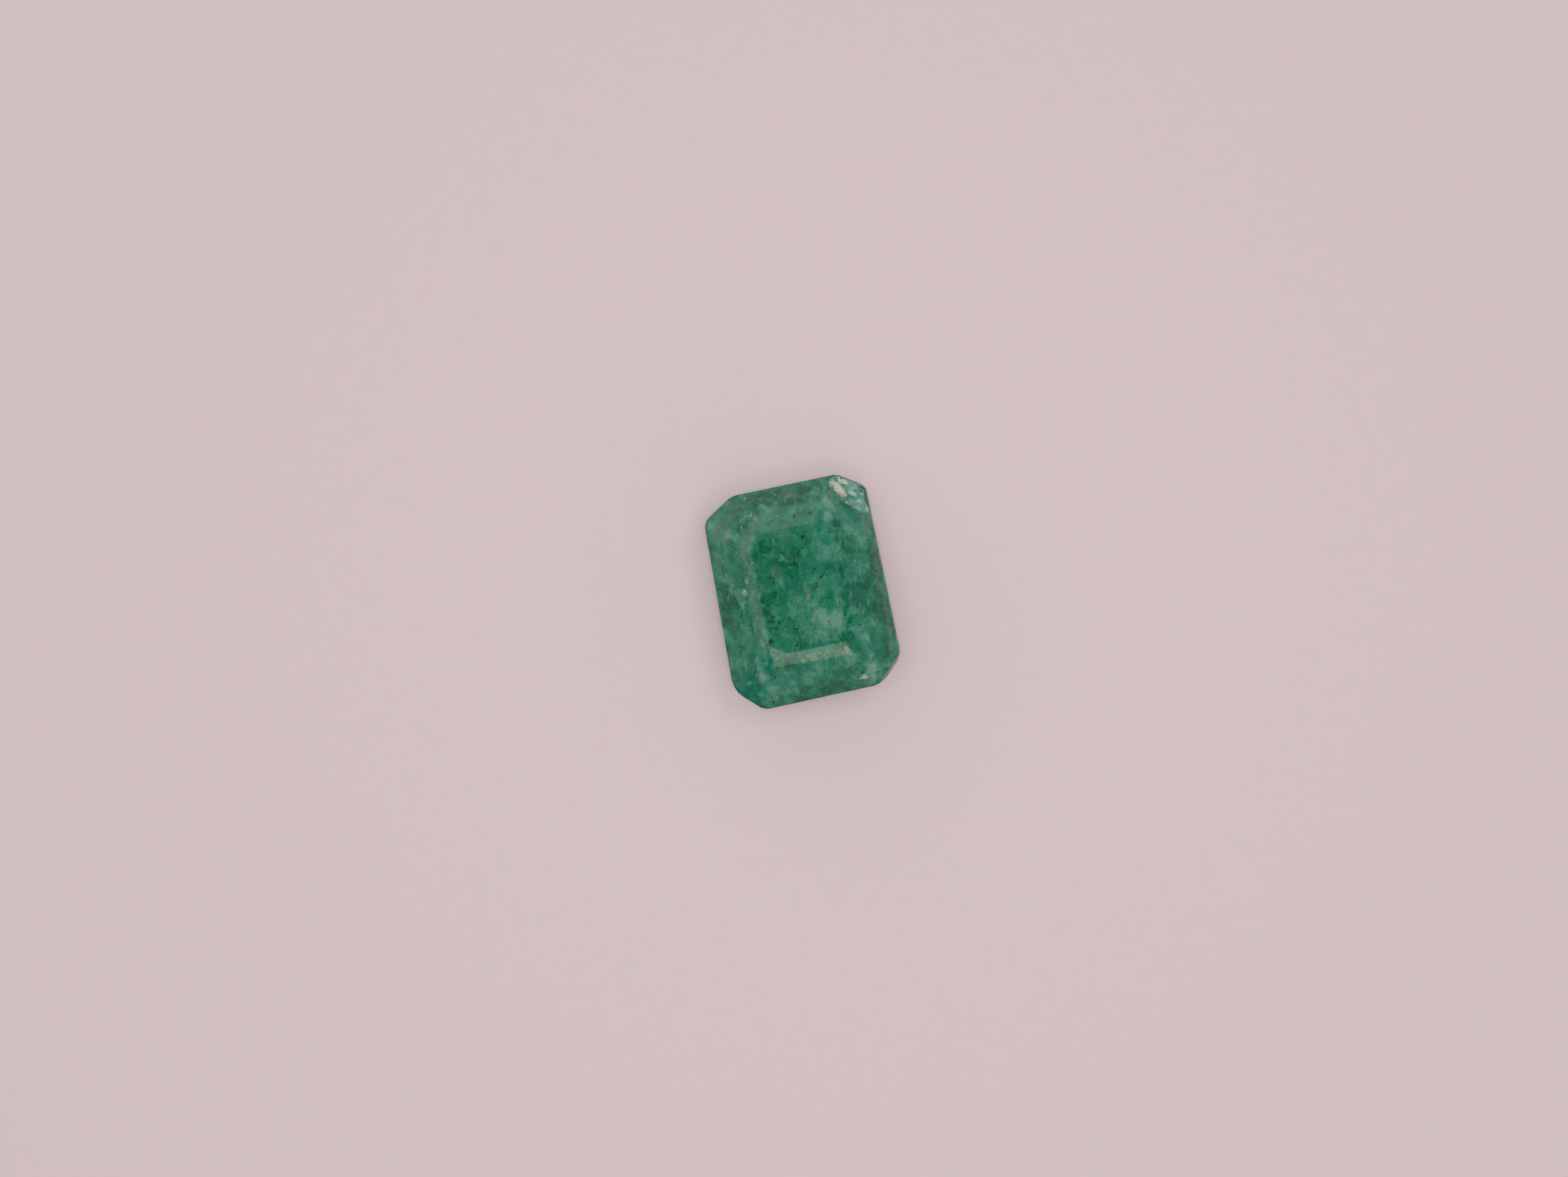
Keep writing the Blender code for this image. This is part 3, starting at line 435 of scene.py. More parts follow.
def mesh_object(name, verts, faces, smooth=True, **marks):
    """A new object from vertex and face arrays, with its place in its mesh.

    Each mark is one number per vertex, kept as an attribute that a material reads.
    """
    mesh = bpy.data.meshes.new(name)
    mesh.from_pydata(np.asarray(verts).tolist(), [], [list(face) for face in faces])
    mesh.validate()
    if smooth:
        mesh.shade_smooth()
    for mark, values in marks.items():
        layer = mesh.attributes.new(mark, "FLOAT", "POINT")
        layer.data.foreach_set("value", np.asarray(values, np.float32).ravel())
    thing = bpy.data.objects.new(name, mesh)
    bpy.context.scene.collection.objects.link(thing)
    return thing


def finish_piece(thing, slot, *materials):
    """Give a piece its materials, and let it ride on the stone's body."""
    for material in materials:
        thing.data.materials.append(material)
    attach(thing, BODY)


def column(items, name, width):
    """One property of all items of a mesh, as an array with a row for each."""
    values = np.zeros(len(items) * width)
    items.foreach_get(name, values)
    return values.reshape(-1, width)


def wave_field(points, size, seed, count=20):
    """A smooth random field between -1 and 1.

    It is the sum of count sine waves of about one wavelength, size, each running in its own
    random direction with its own random phase, over the square root of half their number.
    """
    chance = np.random.default_rng(seed)
    ways = unit(chance.normal(size=(count, 3)))
    ways *= chance.uniform(0.75, 1.3, (count, 1)) * 2.0 * np.pi / size
    phases = chance.uniform(0.0, 2.0 * np.pi, count)
    waves = np.sin(points @ ways.T + phases).sum(axis=-1)
    return np.clip(waves / math.sqrt(count / 2.0) / 1.6, -1.0, 1.0)


def unit(vectors):
    """Vectors over their own lengths."""
    return vectors / np.linalg.norm(vectors, axis=-1, keepdims=True)


def globe_grid(rows, columns, gather=0.0):
    """Unit directions of a globe's grid with single poles, and the faces that join them.

    The rows lie closer together towards the top by the share gather: each row's angle from
    the top is less by gather times the square of the sine of half of it, times its sine.
    """
    down = np.linspace(0.0, np.pi, rows + 1)[1:-1]
    down = down - gather * np.sin(down / 2.0) ** 2 * np.sin(down)
    turns = np.arange(columns) * 2.0 * np.pi / columns
    tilt, turn = np.meshgrid(down, turns, indexing="ij")
    ring = np.stack(
        [np.sin(tilt) * np.cos(turn), np.sin(tilt) * np.sin(turn), np.cos(tilt)], -1
    )
    poles = np.array([[0.0, 0.0, 1.0], [0.0, 0.0, -1.0]])
    directions = np.concatenate([poles[:1], ring.reshape(-1, 3), poles[1:]])
    return directions, *capped_rings(rows - 1, columns)


def capped_rings(rows, columns):
    """Faces of a first tip, rows of rings and a last tip, seen from outside: quads, triangles."""
    here = np.arange(columns)
    after = (here + 1) % columns
    start = 1 + columns * np.arange(rows - 1)[:, None]
    below = start + columns
    quads = np.stack([start + here, below + here, below + after, start + after], -1)
    last = 1 + columns * (rows - 1)
    cap = np.stack([np.zeros(columns, int), 1 + here, 1 + after], -1)
    base = np.stack([last + after, last + here, np.full(columns, last + columns)], -1)
    return quads.reshape(-1, 4), np.concatenate([cap, base])


def many(verts, quads, triangles):
    """Join many copies of one grid, given as (copies, points, 3), into single lists."""
    copies, points, _ = verts.shape
    shift = (np.arange(copies) * points)[:, None, None]
    faces = []
    for kind in (quads, triangles):
        faces += (kind[None] + shift).reshape(-1, kind.shape[1]).tolist()
    return verts.reshape(-1, 3), faces


def smooth_step(value, start, end):
    """0 before start, 1 after end, and a smooth rise between; start may be the larger."""
    share = np.clip((value - start) / (end - start), 0.0, 1.0)
    return share * share * (3.0 - 2.0 * share)


def smooth_path(points, count):
    """Evenly spaced points on the smooth curve through a few given ones."""
    points = np.asarray(points, float)
    given = np.linspace(0.0, 1.0, len(points))
    wanted = np.linspace(0.0, 1.0, count)
    fit = np.polyfit(given, points, min(3, len(points) - 1))
    return np.stack([np.polyval(fit[:, axis], wanted) for axis in range(2)], -1)


# ---------------------------------------------------------------- the stone's facets


def facet_planes(least_area=0.02, least_turn=2.5):
    """Normals and distances from the middle of the stone's flat facets, in metres.

    The frame's triangles are gathered by direction. A direction counts as a facet where its
    triangles together are larger than least_area, in square millimetres, and where it turns
    by least_turn degrees from every larger facet.
    """
    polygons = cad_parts[STONE_NODE].data.polygons
    normals = column(polygons, "normal", 3)
    areas = column(polygons, "area", 1).ravel()
    heights = (normals * (column(polygons, "center", 3) - MIDDLE)).sum(axis=1)
    _, group = np.unique(np.round(normals * 200.0), axis=0, return_inverse=True)
    group = group.ravel()
    total = np.bincount(group, areas)
    facets = [np.bincount(group, areas * normals[:, axis]) for axis in range(3)]
    facets = unit(np.stack(facets, -1))
    distances = np.bincount(group, areas * heights) / total
    order = np.argsort(-total)
    order = order[total[order] > least_area * MM * MM]
    facets, distances = facets[order], distances[order]
    alike = np.tril(facets @ facets.T > math.cos(math.radians(least_turn)), -1).any(axis=1)
    return facets[~alike], distances[~alike]


FACET_NORMALS, FACET_HEIGHTS = facet_planes()


def facet_reach(directions, depth=0.0, sharpness=40.0):
    """How far a ray from the middle runs in each direction before it meets the facets.

    Along a direction a facet lies at its height, less the depth, over the cosine to its
    normal. The nearest facet counts. It is taken as a high power mean, which rounds edges.
    """
    heights = (FACET_HEIGHTS[None, :] - np.reshape(depth, (-1, 1))) / MM
    nearness = np.clip(directions @ FACET_NORMALS.T, 0.0, None) / heights
    return MM * (nearness**sharpness).sum(axis=1) ** (-1.0 / sharpness)


def facet_share(points, across, along):
    """1 under the crown facet at a place, 0 under the others, with a short change between."""
    heights, _ = crown_facet(np.array([across]), np.array([along]))
    way = np.array([across, along, heights[0]]) - MIDDLE
    facet = (FACET_NORMALS @ way / FACET_HEIGHTS).argmax()
    nearness = np.clip((points - MIDDLE) @ FACET_NORMALS.T, 0.0, None) / FACET_HEIGHTS
    return (nearness[:, facet] / nearness.max(axis=1)) ** COLOUR_SHARPNESS


def crown_facet(across, along):
    """Height of the crown over points of the plan, and the normal of the facet there.

    Over a point each upward facet has one height, and the lowest of them is the crown's.
    """
    upward = FACET_NORMALS[:, 2] > 0.2
    normals, heights = FACET_NORMALS[upward], FACET_HEIGHTS[upward]
    plan = np.stack([across, along], -1) - MIDDLE[:2]
    tops = (heights - plan @ normals[:, :2].T) / normals[:, 2] + MIDDLE[2]
    return tops.min(axis=-1), normals[tops.argmin(axis=-1)]


def facet_frames(normals, turns):
    """Axes of many flat things lying on facets: across, along and out, turned in the facet."""
    along = unit(np.array([0.0, 1.0, 1e-6]) - normals * normals[:, 1:2])
    across = np.cross(along, normals)
    cosine, sine = np.cos(turns)[:, None], np.sin(turns)[:, None]
    return cosine * across + sine * along, cosine * along - sine * across, normals


def merged_stone():
    """A merged copy of the stone's solid, with its flat facets made whole."""
    shape = bmesh.new()
    shape.from_mesh(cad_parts[STONE_NODE].data)
    bmesh.ops.remove_doubles(shape, verts=shape.verts, dist=0.0004 * MM)
    flat = math.radians(0.3)
    bmesh.ops.dissolve_limit(shape, angle_limit=flat, verts=shape.verts, edges=shape.edges)
    return shape


def hits_from_above(tree, plan):
    """Heights and normals where lines straight down over the plan first meet a surface."""
    down = Vector((0.0, 0.0, -1.0))
    hits = [tree.ray_cast(Vector((x, y, 2.0 * STONE_TOP)), down) for x, y in plan]
    if any(hit[0] is None for hit in hits):
        raise RuntimeError("A grain or a crumb lies beside the stone.")
    return np.array([hit[0].z for hit in hits]), np.array([tuple(hit[1]) for hit in hits])


# ---------------------------------------------------------------- node helpers


def new_material(name, plain):
    """A node material, its tree and its Principled shader, which gets these plain values."""
    material = bpy.data.materials.new(name)
    material.use_nodes = True
    shader = material.node_tree.nodes["Principled BSDF"]
    for socket, value in plain.items():
        shader.inputs[socket].default_value = value
    return material, material.node_tree, shader


def feed(tree, socket, value):
    """Link a socket to an output, or set it to a plain value."""
    if isinstance(value, bpy.types.NodeSocket):
        tree.links.new(value, socket)
    else:
        socket.default_value = value


def add_node(tree, kind, inputs, **settings):
    """A new shader node with its settings, and its inputs linked or set."""
    node = tree.nodes.new("ShaderNode" + kind)
    for name, value in settings.items():
        setattr(node, name, value)
    for name, value in inputs.items():
        feed(tree, node.inputs[name], value)
    return node


def placed(tree, vector, stretch, shift=None):
    """A vector stretched and shifted."""
    if not (stretch or shift):
        return vector
    stretch, shift = stretch or (1.0, 1.0, 1.0), shift or (0.0, 0.0, 0.0)
    inputs = {"Vector": vector, "Scale": stretch, "Location": shift}
    return add_node(tree, "Mapping", inputs).outputs["Vector"]


def noise(tree, vector, scale, detail=3.0, roughness=0.55, stretch=None, shift=None, output="Fac"):
    """A noise pattern of scale patches per metre, read from a vector."""
    vector = placed(tree, vector, stretch, shift)
    inputs = {"Vector": vector, "Scale": scale, "Detail": detail, "Roughness": roughness}
    return add_node(tree, "TexNoise", inputs).outputs[output]


def cells(tree, vector, scale, stretch, feature="F1"):
    """A cell pattern of scale cells per metre, read from a vector."""
    inputs = {"Vector": placed(tree, vector, stretch), "Scale": scale}
    return add_node(tree, "TexVoronoi", inputs, feature=feature).outputs


def even_part(tree, colour):
    """The red part of a colour, which is even from 0 to 1 over a cell pattern."""
    return add_node(tree, "SeparateColor", {"Color": colour}).outputs["Red"]


def sums(tree, operation, first, second=0.0):
    """One step of arithmetic on two numbers."""
    return add_node(tree, "Math", {0: first, 1: second}, operation=operation).outputs["Value"]


def vector_sum(tree, operation, first, second, output="Vector"):
    """One step of arithmetic on two vectors."""
    node = add_node(tree, "VectorMath", {0: first, 1: second}, operation=operation)
    return node.outputs[output]


def weighed(tree, start, *parts):
    """A start value plus a weighed sum of (value, centre, weight) parts."""
    total = start
    for value, centre, weight in parts:
        share = sums(tree, "MULTIPLY", sums(tree, "SUBTRACT", value, centre), weight)
        total = sums(tree, "ADD", share, total)
    return total


def spread(tree, value, low, high, to_low=0.0, to_high=1.0):
    """A number moved smoothly from one range to another, and held at its ends."""
    inputs = {
        "Value": value, "From Min": low, "From Max": high, "To Min": to_low, "To Max": to_high
    }
    node = add_node(tree, "MapRange", inputs, interpolation_type="SMOOTHSTEP")
    return node.outputs["Result"]


def blend(tree, amount, first, second):
    """A mix of two colours."""
    inputs = {"Factor": amount}
    for socket, colour in ((6, first), (7, second)):
        plain = not isinstance(colour, bpy.types.NodeSocket)
        inputs[socket] = (*colour[:3], 1.0) if plain else colour
    return add_node(tree, "Mix", inputs, data_type="RGBA").outputs[2]


def ramp(tree, source, stops):
    """A colour ramp fed by a source, from (place, colour) stops."""
    node = add_node(tree, "ValToRGB", {"Fac": source})
    elements = node.color_ramp.elements
    while len(elements) < len(stops):
        elements.new(0.5)
    for element, (place, colour) in zip(elements, stops):
        element.position = place
        element.color = (*colour[:3], 1.0)
    return node.outputs["Color"]


def object_place(tree):
    """The object's own coordinates."""
    return add_node(tree, "TexCoord", {}).outputs["Object"]


def mark_value(tree, name):
    """A number kept on the mesh's points."""
    return add_node(tree, "Attribute", {}, attribute_name=name).outputs["Fac"]


def shaken(tree, vector, scale, amount):
    """A vector shaken by up to about half an amount, in metres, in waves of a scale."""
    shake = noise(tree, vector, scale, 2.0, output="Color")
    shake = vector_sum(tree, "SUBTRACT", shake, (0.5, 0.5, 0.5))
    shake = vector_sum(tree, "MULTIPLY", shake, (amount, amount, amount))
    return vector_sum(tree, "ADD", vector, shake)


# ---------------------------------------------------------------- shared effects


def moss_group():
    """Build once the emerald's inner pattern: clouds, shards, cracks, grain, sand and hue."""
    group = bpy.data.node_groups.get("emerald_moss")
    if group:
        return group
    group = bpy.data.node_groups.new("emerald_moss", "ShaderNodeTree")
    new_socket = group.interface.new_socket
    new_socket("Vector", in_out="INPUT", socket_type="NodeSocketVector")
    size = new_socket("Patch Scale", in_out="INPUT", socket_type="NodeSocketFloat")
    size.default_value = 1500.0
    inside = group.nodes.new("NodeGroupInput").outputs

    def scaled(factor):
        return sums(group, "MULTIPLY", inside["Patch Scale"], factor)

    place = inside["Vector"]
    bent = shaken(group, place, 900.0, 0.8 * MM)
    ragged = shaken(group, bent, 5200.0, 0.16 * MM)
    shards = cells(group, ragged, scaled(0.95), (1.0, 0.62, 0.9))["Color"]
    chips = cells(group, ragged, scaled(2.6), (1.0, 0.6, 0.9))["Color"]
    edges = cells(group, ragged, scaled(1.35), (1.0, 0.66, 0.9), "DISTANCE_TO_EDGE")["Distance"]
    where = noise(group, place, scaled(0.8), 2.0, 0.5, shift=(0.03, 0.0, 0.01))
    cracked = spread(group, where, 0.48, 0.60)
    threads = noise(group, ragged, scaled(5.0), 3.0, 0.6, (1.0, 0.14, 1.0))
    patterns = {
        "Clouds": noise(group, bent, scaled(0.45), 4.0, 0.55, (1.0, 0.7, 1.0)),
        "Shards": even_part(group, shards),
        "Chips": even_part(group, chips),
        "Cracks": sums(group, "MULTIPLY", spread(group, edges, 0.012, 0.045, 1.0, 0.0), cracked),
        "Grain": noise(group, place, scaled(2.6), 5.0, 0.62, (1.0, 0.8, 1.0)),
        "Sand": noise(group, place, scaled(11.0), 2.0, 0.5),
        "Threads": spread(group, threads, 0.56, 0.72),
        "Hue": noise(group, ragged, scaled(1.1), 4.0, 0.6, shift=(0.01, 0.02, 0.0)),
    }
    for name in patterns:
        new_socket(name, in_out="OUTPUT", socket_type="NodeSocketFloat")
    outside = group.nodes.new("NodeGroupOutput").inputs
    for name, pattern in patterns.items():
        feed(group, outside[name], pattern)
    return group


def moss(tree, scale=1500.0):
    """The moss pattern placed in a material, with scale patches per metre."""
    node = add_node(tree, "Group", {}, node_tree=moss_group())
    feed(tree, node.inputs["Vector"], object_place(tree))
    feed(tree, node.inputs["Patch Scale"], scale)
    return node.outputs


# ---------------------------------------------------------------- materials


def glass(name, settings, transmission, plain):
    """Clear emerald that lets a share of the light through, and takes colour out of it."""
    plain = {"Metallic": 0.0, "Transmission Weight": transmission, "IOR": settings.ior, **plain}
    material, tree, shader = new_material(name, plain)
    inputs = {"Color": (*settings.tint, 1.0), "Density": settings.tint_density}
    absorb = add_node(tree, "VolumeAbsorption", inputs)
    tree.links.new(absorb.outputs["Volume"], tree.nodes["Material Output"].inputs["Volume"])
    return material, tree, shader


def stone_material(settings):
    """Clear green emerald, polished, with faint smudges and fine scratches in the polish."""
    white = {"Base Color": (1.0, 1.0, 1.0, 1.0)}
    material, tree, shader = glass("polished_emerald", settings, 1.0, white)
    place = object_place(tree)
    smudge = noise(tree, place, 700.0, 5.0, 0.6)
    scratch = noise(tree, place, 2600.0, 2.0, 0.5, (1.0, 0.06, 1.0))
    rough = spread(tree, smudge, 0.42, 0.72, 0.015, 0.13)
    rough = sums(tree, "ADD", rough, spread(tree, scratch, 0.66, 0.74, 0.0, 0.10))
    feed(tree, shader.inputs["Roughness"], rough)
    return material


def worn_material(settings):
    """The bare faces of the broken corner: rippled, duller emerald."""
    material, tree, shader = glass("broken_emerald", settings, 0.66, {})
    place = object_place(tree)
    chips = noise(tree, place, 5200.0, 4.0, 0.6)
    broad = spread(tree, noise(tree, place, 1500.0, 3.0, 0.5), 0.40, 0.62)
    colour = blend(tree, broad, (0.10, 0.52, 0.40), (0.36, 0.80, 0.66))
    feed(tree, shader.inputs["Base Color"], colour)
    feed(tree, shader.inputs["Roughness"], spread(tree, chips, 0.40, 0.70, 0.06, 0.42))
    bump = add_node(tree, "Bump", {"Strength": 0.5, "Distance": 0.02 * MM, "Height": chips})
    feed(tree, shader.inputs["Normal"], bump.outputs["Normal"])
    return material


def heart_material(settings):
    """The heart's mossy green, matt."""
    matt = {"Roughness": 0.55, "Specular IOR Level": 0.0}
    material, tree, shader = new_material("mossy_heart", matt)
    feed(tree, shader.inputs["Base Color"], heart_colour(tree, settings))
    return material


def heart_colour(tree, settings):
    """Mossy green clouds: milky and clear places, ragged patches, fine grain and threads."""
    pattern = moss(tree)
    milk, warmth, detail = (mark_value(tree, name) for name in ("milk", "warmth", "detail"))
    shard = weighed(tree, 0.0, (pattern["Shards"], 0.5, 0.9), (pattern["Clouds"], 0.5, 1.2))
    chip = weighed(tree, 0.0, (pattern["Chips"], 0.5, 1.1), (pattern["Clouds"], 0.5, 1.0))
    texture = weighed(
        tree,
        0.0,
        (spread(tree, shard, 0.22, 0.30), 0.0, 0.05),
        (spread(tree, shard, -0.22, -0.30), 0.0, -0.05),
        (spread(tree, chip, 0.30, 0.38), 0.0, 0.06),
        (spread(tree, chip, -0.30, -0.38), 0.0, -0.05),
        (pattern["Cracks"], 0.0, -0.015),
        (pattern["Clouds"], 0.5, 0.16),
        (pattern["Grain"], 0.5, 0.52),
        (pattern["Sand"], 0.5, 0.40),
        (spread(tree, pattern["Sand"], 0.62, 0.72), 0.0, 0.05),
        (pattern["Threads"], 0.0, 0.05),
    )
    texture = sums(tree, "MULTIPLY", texture, detail)
    tone = weighed(tree, 0.51, (milk, 0.0, 0.33), (texture, 0.0, 1.0))
    stops = [
        (0.08, tuple(0.6 * channel for channel in settings.dark)),
        (0.27, settings.dark),
        (0.51, settings.middle),
        (0.73, settings.pale),
        (0.96, (0.46, 0.70, 0.59)),
    ]
    colour = ramp(tree, tone, stops)
    hue = weighed(tree, 0.0, (warmth, 0.0, 1.0), (pattern["Hue"], 0.5, 2.4))
    colour = blend(tree, spread(tree, hue, 0.1, 1.2, 0.0, 0.42), colour, settings.warm)
    return blend(tree, spread(tree, hue, -0.1, -1.0, 0.0, 0.42), colour, settings.cool)


def toned_colour(tree, stops, grain, depth):
    """A colour that follows the tone kept on each point, broken by fine specks, and the specks."""
    speck = noise(tree, object_place(tree), grain, 3.0, 0.6)
    broken = spread(tree, speck, 0.3, 0.7, -depth, depth)
    return ramp(tree, sums(tree, "ADD", mark_value(tree, "tone"), broken), stops), speck


def ragged_rim(tree, grain, shift=None):
    """How far out a point lies in its patch, 0 in the middle and 1 at the rim, made ragged."""
    ragged = noise(tree, object_place(tree), grain, 3.0, 0.6, shift=shift)
    return weighed(tree, 0.0, (mark_value(tree, "rim"), 0.0, 1.0), (ragged, 0.5, 0.9))


def toned_material(name, stops, grain=9000.0, depth=0.12):
    """A matt mineral whose colour follows the tone of each grain, broken by fine specks."""
    material, tree, shader = new_material(name, {"Specular IOR Level": 0.1})
    colour, speck = toned_colour(tree, stops, grain, depth)
    feed(tree, shader.inputs["Base Color"], colour)
    feed(tree, shader.inputs["Roughness"], spread(tree, speck, 0.3, 0.7, 0.35, 0.65))
    return material


def patch_material(name, stops, solid, clear, grain, depth=0.15):
    """A mineral patch on the heart that fades, in ragged grains, into the heart's own colour."""
    matt = {"Roughness": 0.5, "Specular IOR Level": 0.0}
    material, tree, shader = new_material(name, matt)
    mineral, _ = toned_colour(tree, stops, grain, depth)
    rim = ragged_rim(tree, 1.15 * grain, (0.02, 0.01, 0.0))
    ground = heart_colour(tree, bpy.context.scene.emerald_heart)
    colour = blend(tree, spread(tree, rim, solid, clear, 0.9, 0.0), ground, mineral)
    feed(tree, shader.inputs["Base Color"], colour)
    return material


def bruised_material(name):
    """White to grey-green bruised emerald."""
    stops = [(0.2, (0.13, 0.40, 0.31)), (0.55, (0.32, 0.46, 0.39)), (0.9, (0.60, 0.56, 0.48))]
    return toned_material(name, stops, depth=0.32)


def thin_out(material, inner, outer, grain):
    """Let a material fade, in ragged grains, from solid within inner to clear at the rim."""
    tree = material.node_tree
    cover = spread(tree, ragged_rim(tree, grain), inner, outer, 1.0, 0.0)
    feed(tree, tree.nodes["Principled BSDF"].inputs["Alpha"], cover)


# ---------------------------------------------------------------- the stone


class EMERALD_OT_stone(bpy.types.Operator):
    """Build the polished stone from the frame's facets, with a worn line along its edges"""

    bl_idname = "emerald.stone"
    bl_label = "Stone"

    def execute(self, context):
        settings = context.scene.emerald_stone
        shape = merged_stone()
        mark_faces(shape, wear_edges(shape, settings.edge_wear))
        bmesh.ops.triangulate(shape, faces=shape.faces)
        mesh = bpy.data.meshes.new("polished_stone")
        shape.to_mesh(mesh)
        shape.free()
        stone = bpy.data.objects.new("polished_stone", mesh)
        context.scene.collection.objects.link(stone)
        finish_piece(stone, "emerald", stone_material(settings), worn_material(settings))
        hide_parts(STONE_NODE)
        return {"FINISHED"}


def wear_edges(shape, wear):
    """Round the edges that would wear, and return the faces that come of it."""
    bevelled = bmesh.ops.bevel(
        shape,
        geom=[edge for edge in shape.edges if wears(edge, wear)],
        offset=wear,
        offset_type="OFFSET",
        segments=3,
        profile=0.5,
        affect="EDGES",
        clamp_overlap=False,
    )
    return set(bevelled["faces"])


def mark_faces(shape, rounded):
    """Smooth the worn edges and the breaks, and bare the faces of the broken corner.

    Those take the second material.
    """
    for face, struck in zip(shape.faces, struck_out(shape)):
        face.smooth = bool(struck) or face in rounded
        near_corner = (face.calc_center_median() - BROKEN_CORNER).length < CORNER_REACH
        if struck and near_corner and face not in rounded:
            face.material_index = 1


def wears(edge, wear, least_angle=4.0, least_area=0.05, least_length=12.0, least_around=4.0):
    """Whether an edge lies between two large facets and would wear to a fine line.

    The angle is in degrees, the area in square millimetres, and the lengths, of the edge and of
    those that meet it, in widths of the worn line.
    """
    if len(edge.link_faces) != 2 or edge.calc_length() < least_length * wear:
        return False
    if edge.calc_face_angle(0.0) < math.radians(least_angle):
        return False
    if min(face.calc_area() for face in edge.link_faces) < least_area * MM * MM:
        return False
    around = [other.calc_length() for vert in edge.verts for other in vert.link_edges]
    return min(around) > least_around * wear


def struck_out(shape, least_depth=0.003):
    """Whether each face lies under all facets by least_depth, in millimetres, as a break does."""
    centres = np.array([face.calc_center_median() for face in shape.faces])
    depths = FACET_HEIGHTS - (centres - MIDDLE) @ FACET_NORMALS.T
    return depths.min(axis=1) > least_depth * MM


# ---------------------------------------------------------------- the clouded heart


class EMERALD_OT_heart(bpy.types.Operator):
    """Build the mossy cloud that fills the stone under a clear skin"""

    bl_idname = "emerald.heart"
    bl_label = "Clouded heart"

    def execute(self, context):
        settings = context.scene.emerald_heart
        directions, quads, triangles = globe_grid(HEART_ROWS, HEART_COLUMNS, HEART_GATHER)
        surface = MIDDLE + directions * facet_reach(directions)[:, None]
        reach = facet_reach(directions, heart_depth(surface, settings), FORM_SHARPNESS)
        verts, faces = many((MIDDLE + directions * reach[:, None])[None], quads, triangles)
        heart = mesh_object("clouded_heart", verts, faces, **cloud_marks(verts))
        finish_piece(heart, "veil", heart_material(settings))
        return {"FINISHED"}


def heart_depth(surface, settings):
    """Depth of clear stone over the heart at points of the stone's surface.

    It is the clear skin, plus the relief times mounds and lumps that fade out towards the
    girdle, plus a fine crumble, a pit under each dark grain, and a rounded hollow under the
    broken corner. A pit or a hollow falls off as the exponential of a power of the distance.
    """
    inner = smooth_step(np.abs(surface[:, 2] - GIRDLE), 0.0, RELIEF_FADE)
    mounds = 0.5 + 0.5 * wave_field(surface, MOUND_SIZE, seed=3)
    lumps = 0.5 + 0.5 * wave_field(surface * [1.0, 0.6, 1.0], LUMP_SIZE, seed=4, count=40)
    crumble = wave_field(surface, CRUMBLE_SIZE, seed=5, count=50)
    grains = np.array(DARK_GRAINS)[:, :3] * MM
    beside = np.linalg.norm(surface[:, None, :2] - grains[None, :, :2], axis=-1)
    beside /= 0.8 * grains[:, 2]
    pits = PIT_DEPTH * np.exp(-(beside**2.0)).max(axis=1) * (surface[:, 2] > GIRDLE)
    hollows = np.array(CORNER_HOLLOWS) * MM
    away = np.linalg.norm(surface[:, None, :] - hollows[None, :, :3], axis=-1) / hollows[:, 3]
    hollow = (hollows[:, 4] * np.exp(-(away**4.0))).max(axis=1)
    depth = pits + hollow + settings.depth * (0.5 + 0.5 * inner)
    depth += settings.relief * inner * (0.55 * mounds + 0.45 * lumps)
    return depth + CRUMBLE_DEPTH * crumble * (0.3 + inner)


def cloud_marks(points):
    """Milkiness and warmth of the heart at its points, from about -1 to 1, and its detail.

    The places are first shaken by wave fields, which makes every outline ragged. Under the
    crown each cloud of the lists adds its share inside its own uneven polygon, measured in its
    half width and half length, and each facet of the painted sheen adds its own all over, a
    painted reflection haze that also evens out the detail. Shards lie over them, and wave fields
    fill the rest. Beside the table the heart is painted darker, a painted shade for the dimmer
    look through the sloping facets, and shows more detail.
    """
    ragged = points.copy()
    for axis in range(3):
        for reach, size, seed, count in RAGGED_WAVES:
            ragged[:, axis] += reach * wave_field(points, size, seed + axis, count)
    crown = smooth_step(points[:, 2] - GIRDLE, -0.5 * CROWN_FADE, 0.5 * CROWN_FADE)
    milk, warmth, uneven = np.zeros(len(points)), np.zeros(len(points)), np.ones(len(points))
    for row, (*form, milky, warm) in enumerate(CLOUDS + BROAD_CLOUDS):
        rim = CLOUD_RIM if row < len(CLOUDS) else BROAD_CLOUD_RIM
        cover = cloud_cover(ragged, form, rim, row) * crown
        milk += milky * cover
        warmth += warm * cover
    # Painted reflection haze: each facet of the painted sheen is made paler, warmer and less
    # detailed.
    for across, along, milky, warm, even in PAINTED_SHEEN_FACETS:
        cover = facet_share(points, across * MM, along * MM)
        milk += milky * cover
        warmth += warm * cover
        uneven -= even * cover
    broad = wave_field(points * [1.0, 0.7, 1.0], 0.95 * MM, seed=75, count=40)
    fine = wave_field(points * [1.0, 0.6, 1.0], 0.34 * MM, seed=76, count=60)
    hue = wave_field(points * [1.0, 0.7, 1.0], 0.70 * MM, seed=77, count=40)
    # Under the facets beside the table, where the heart gets its painted shade below.
    beside = 1.0 - facet_share(points, 0.0, 0.0)
    shards = shard_layers(ragged, SHARD_COUNT, seed=91)
    milk = CLOUD_SHARE * milk + (SHARD_SHARE + MORE_SHARDS * beside) * shards
    milk += (BROAD_SHARE + MORE_BROAD * (1.0 - crown)) * broad + FINE_SHARE * fine
    # Painted shade: the heart is made darker beside the table.
    milk = uneven * milk - PAINTED_SIDE_SHADE * beside
    return {
        "milk": np.clip(milk * (1.0 + 0.2 * beside), -1.5, 1.5),
        "warmth": np.clip(warmth + 0.2 * hue - 0.15 * beside, -1.0, 1.0),
        "detail": (1.0 + SIDE_DETAIL * beside) * uneven,
    }


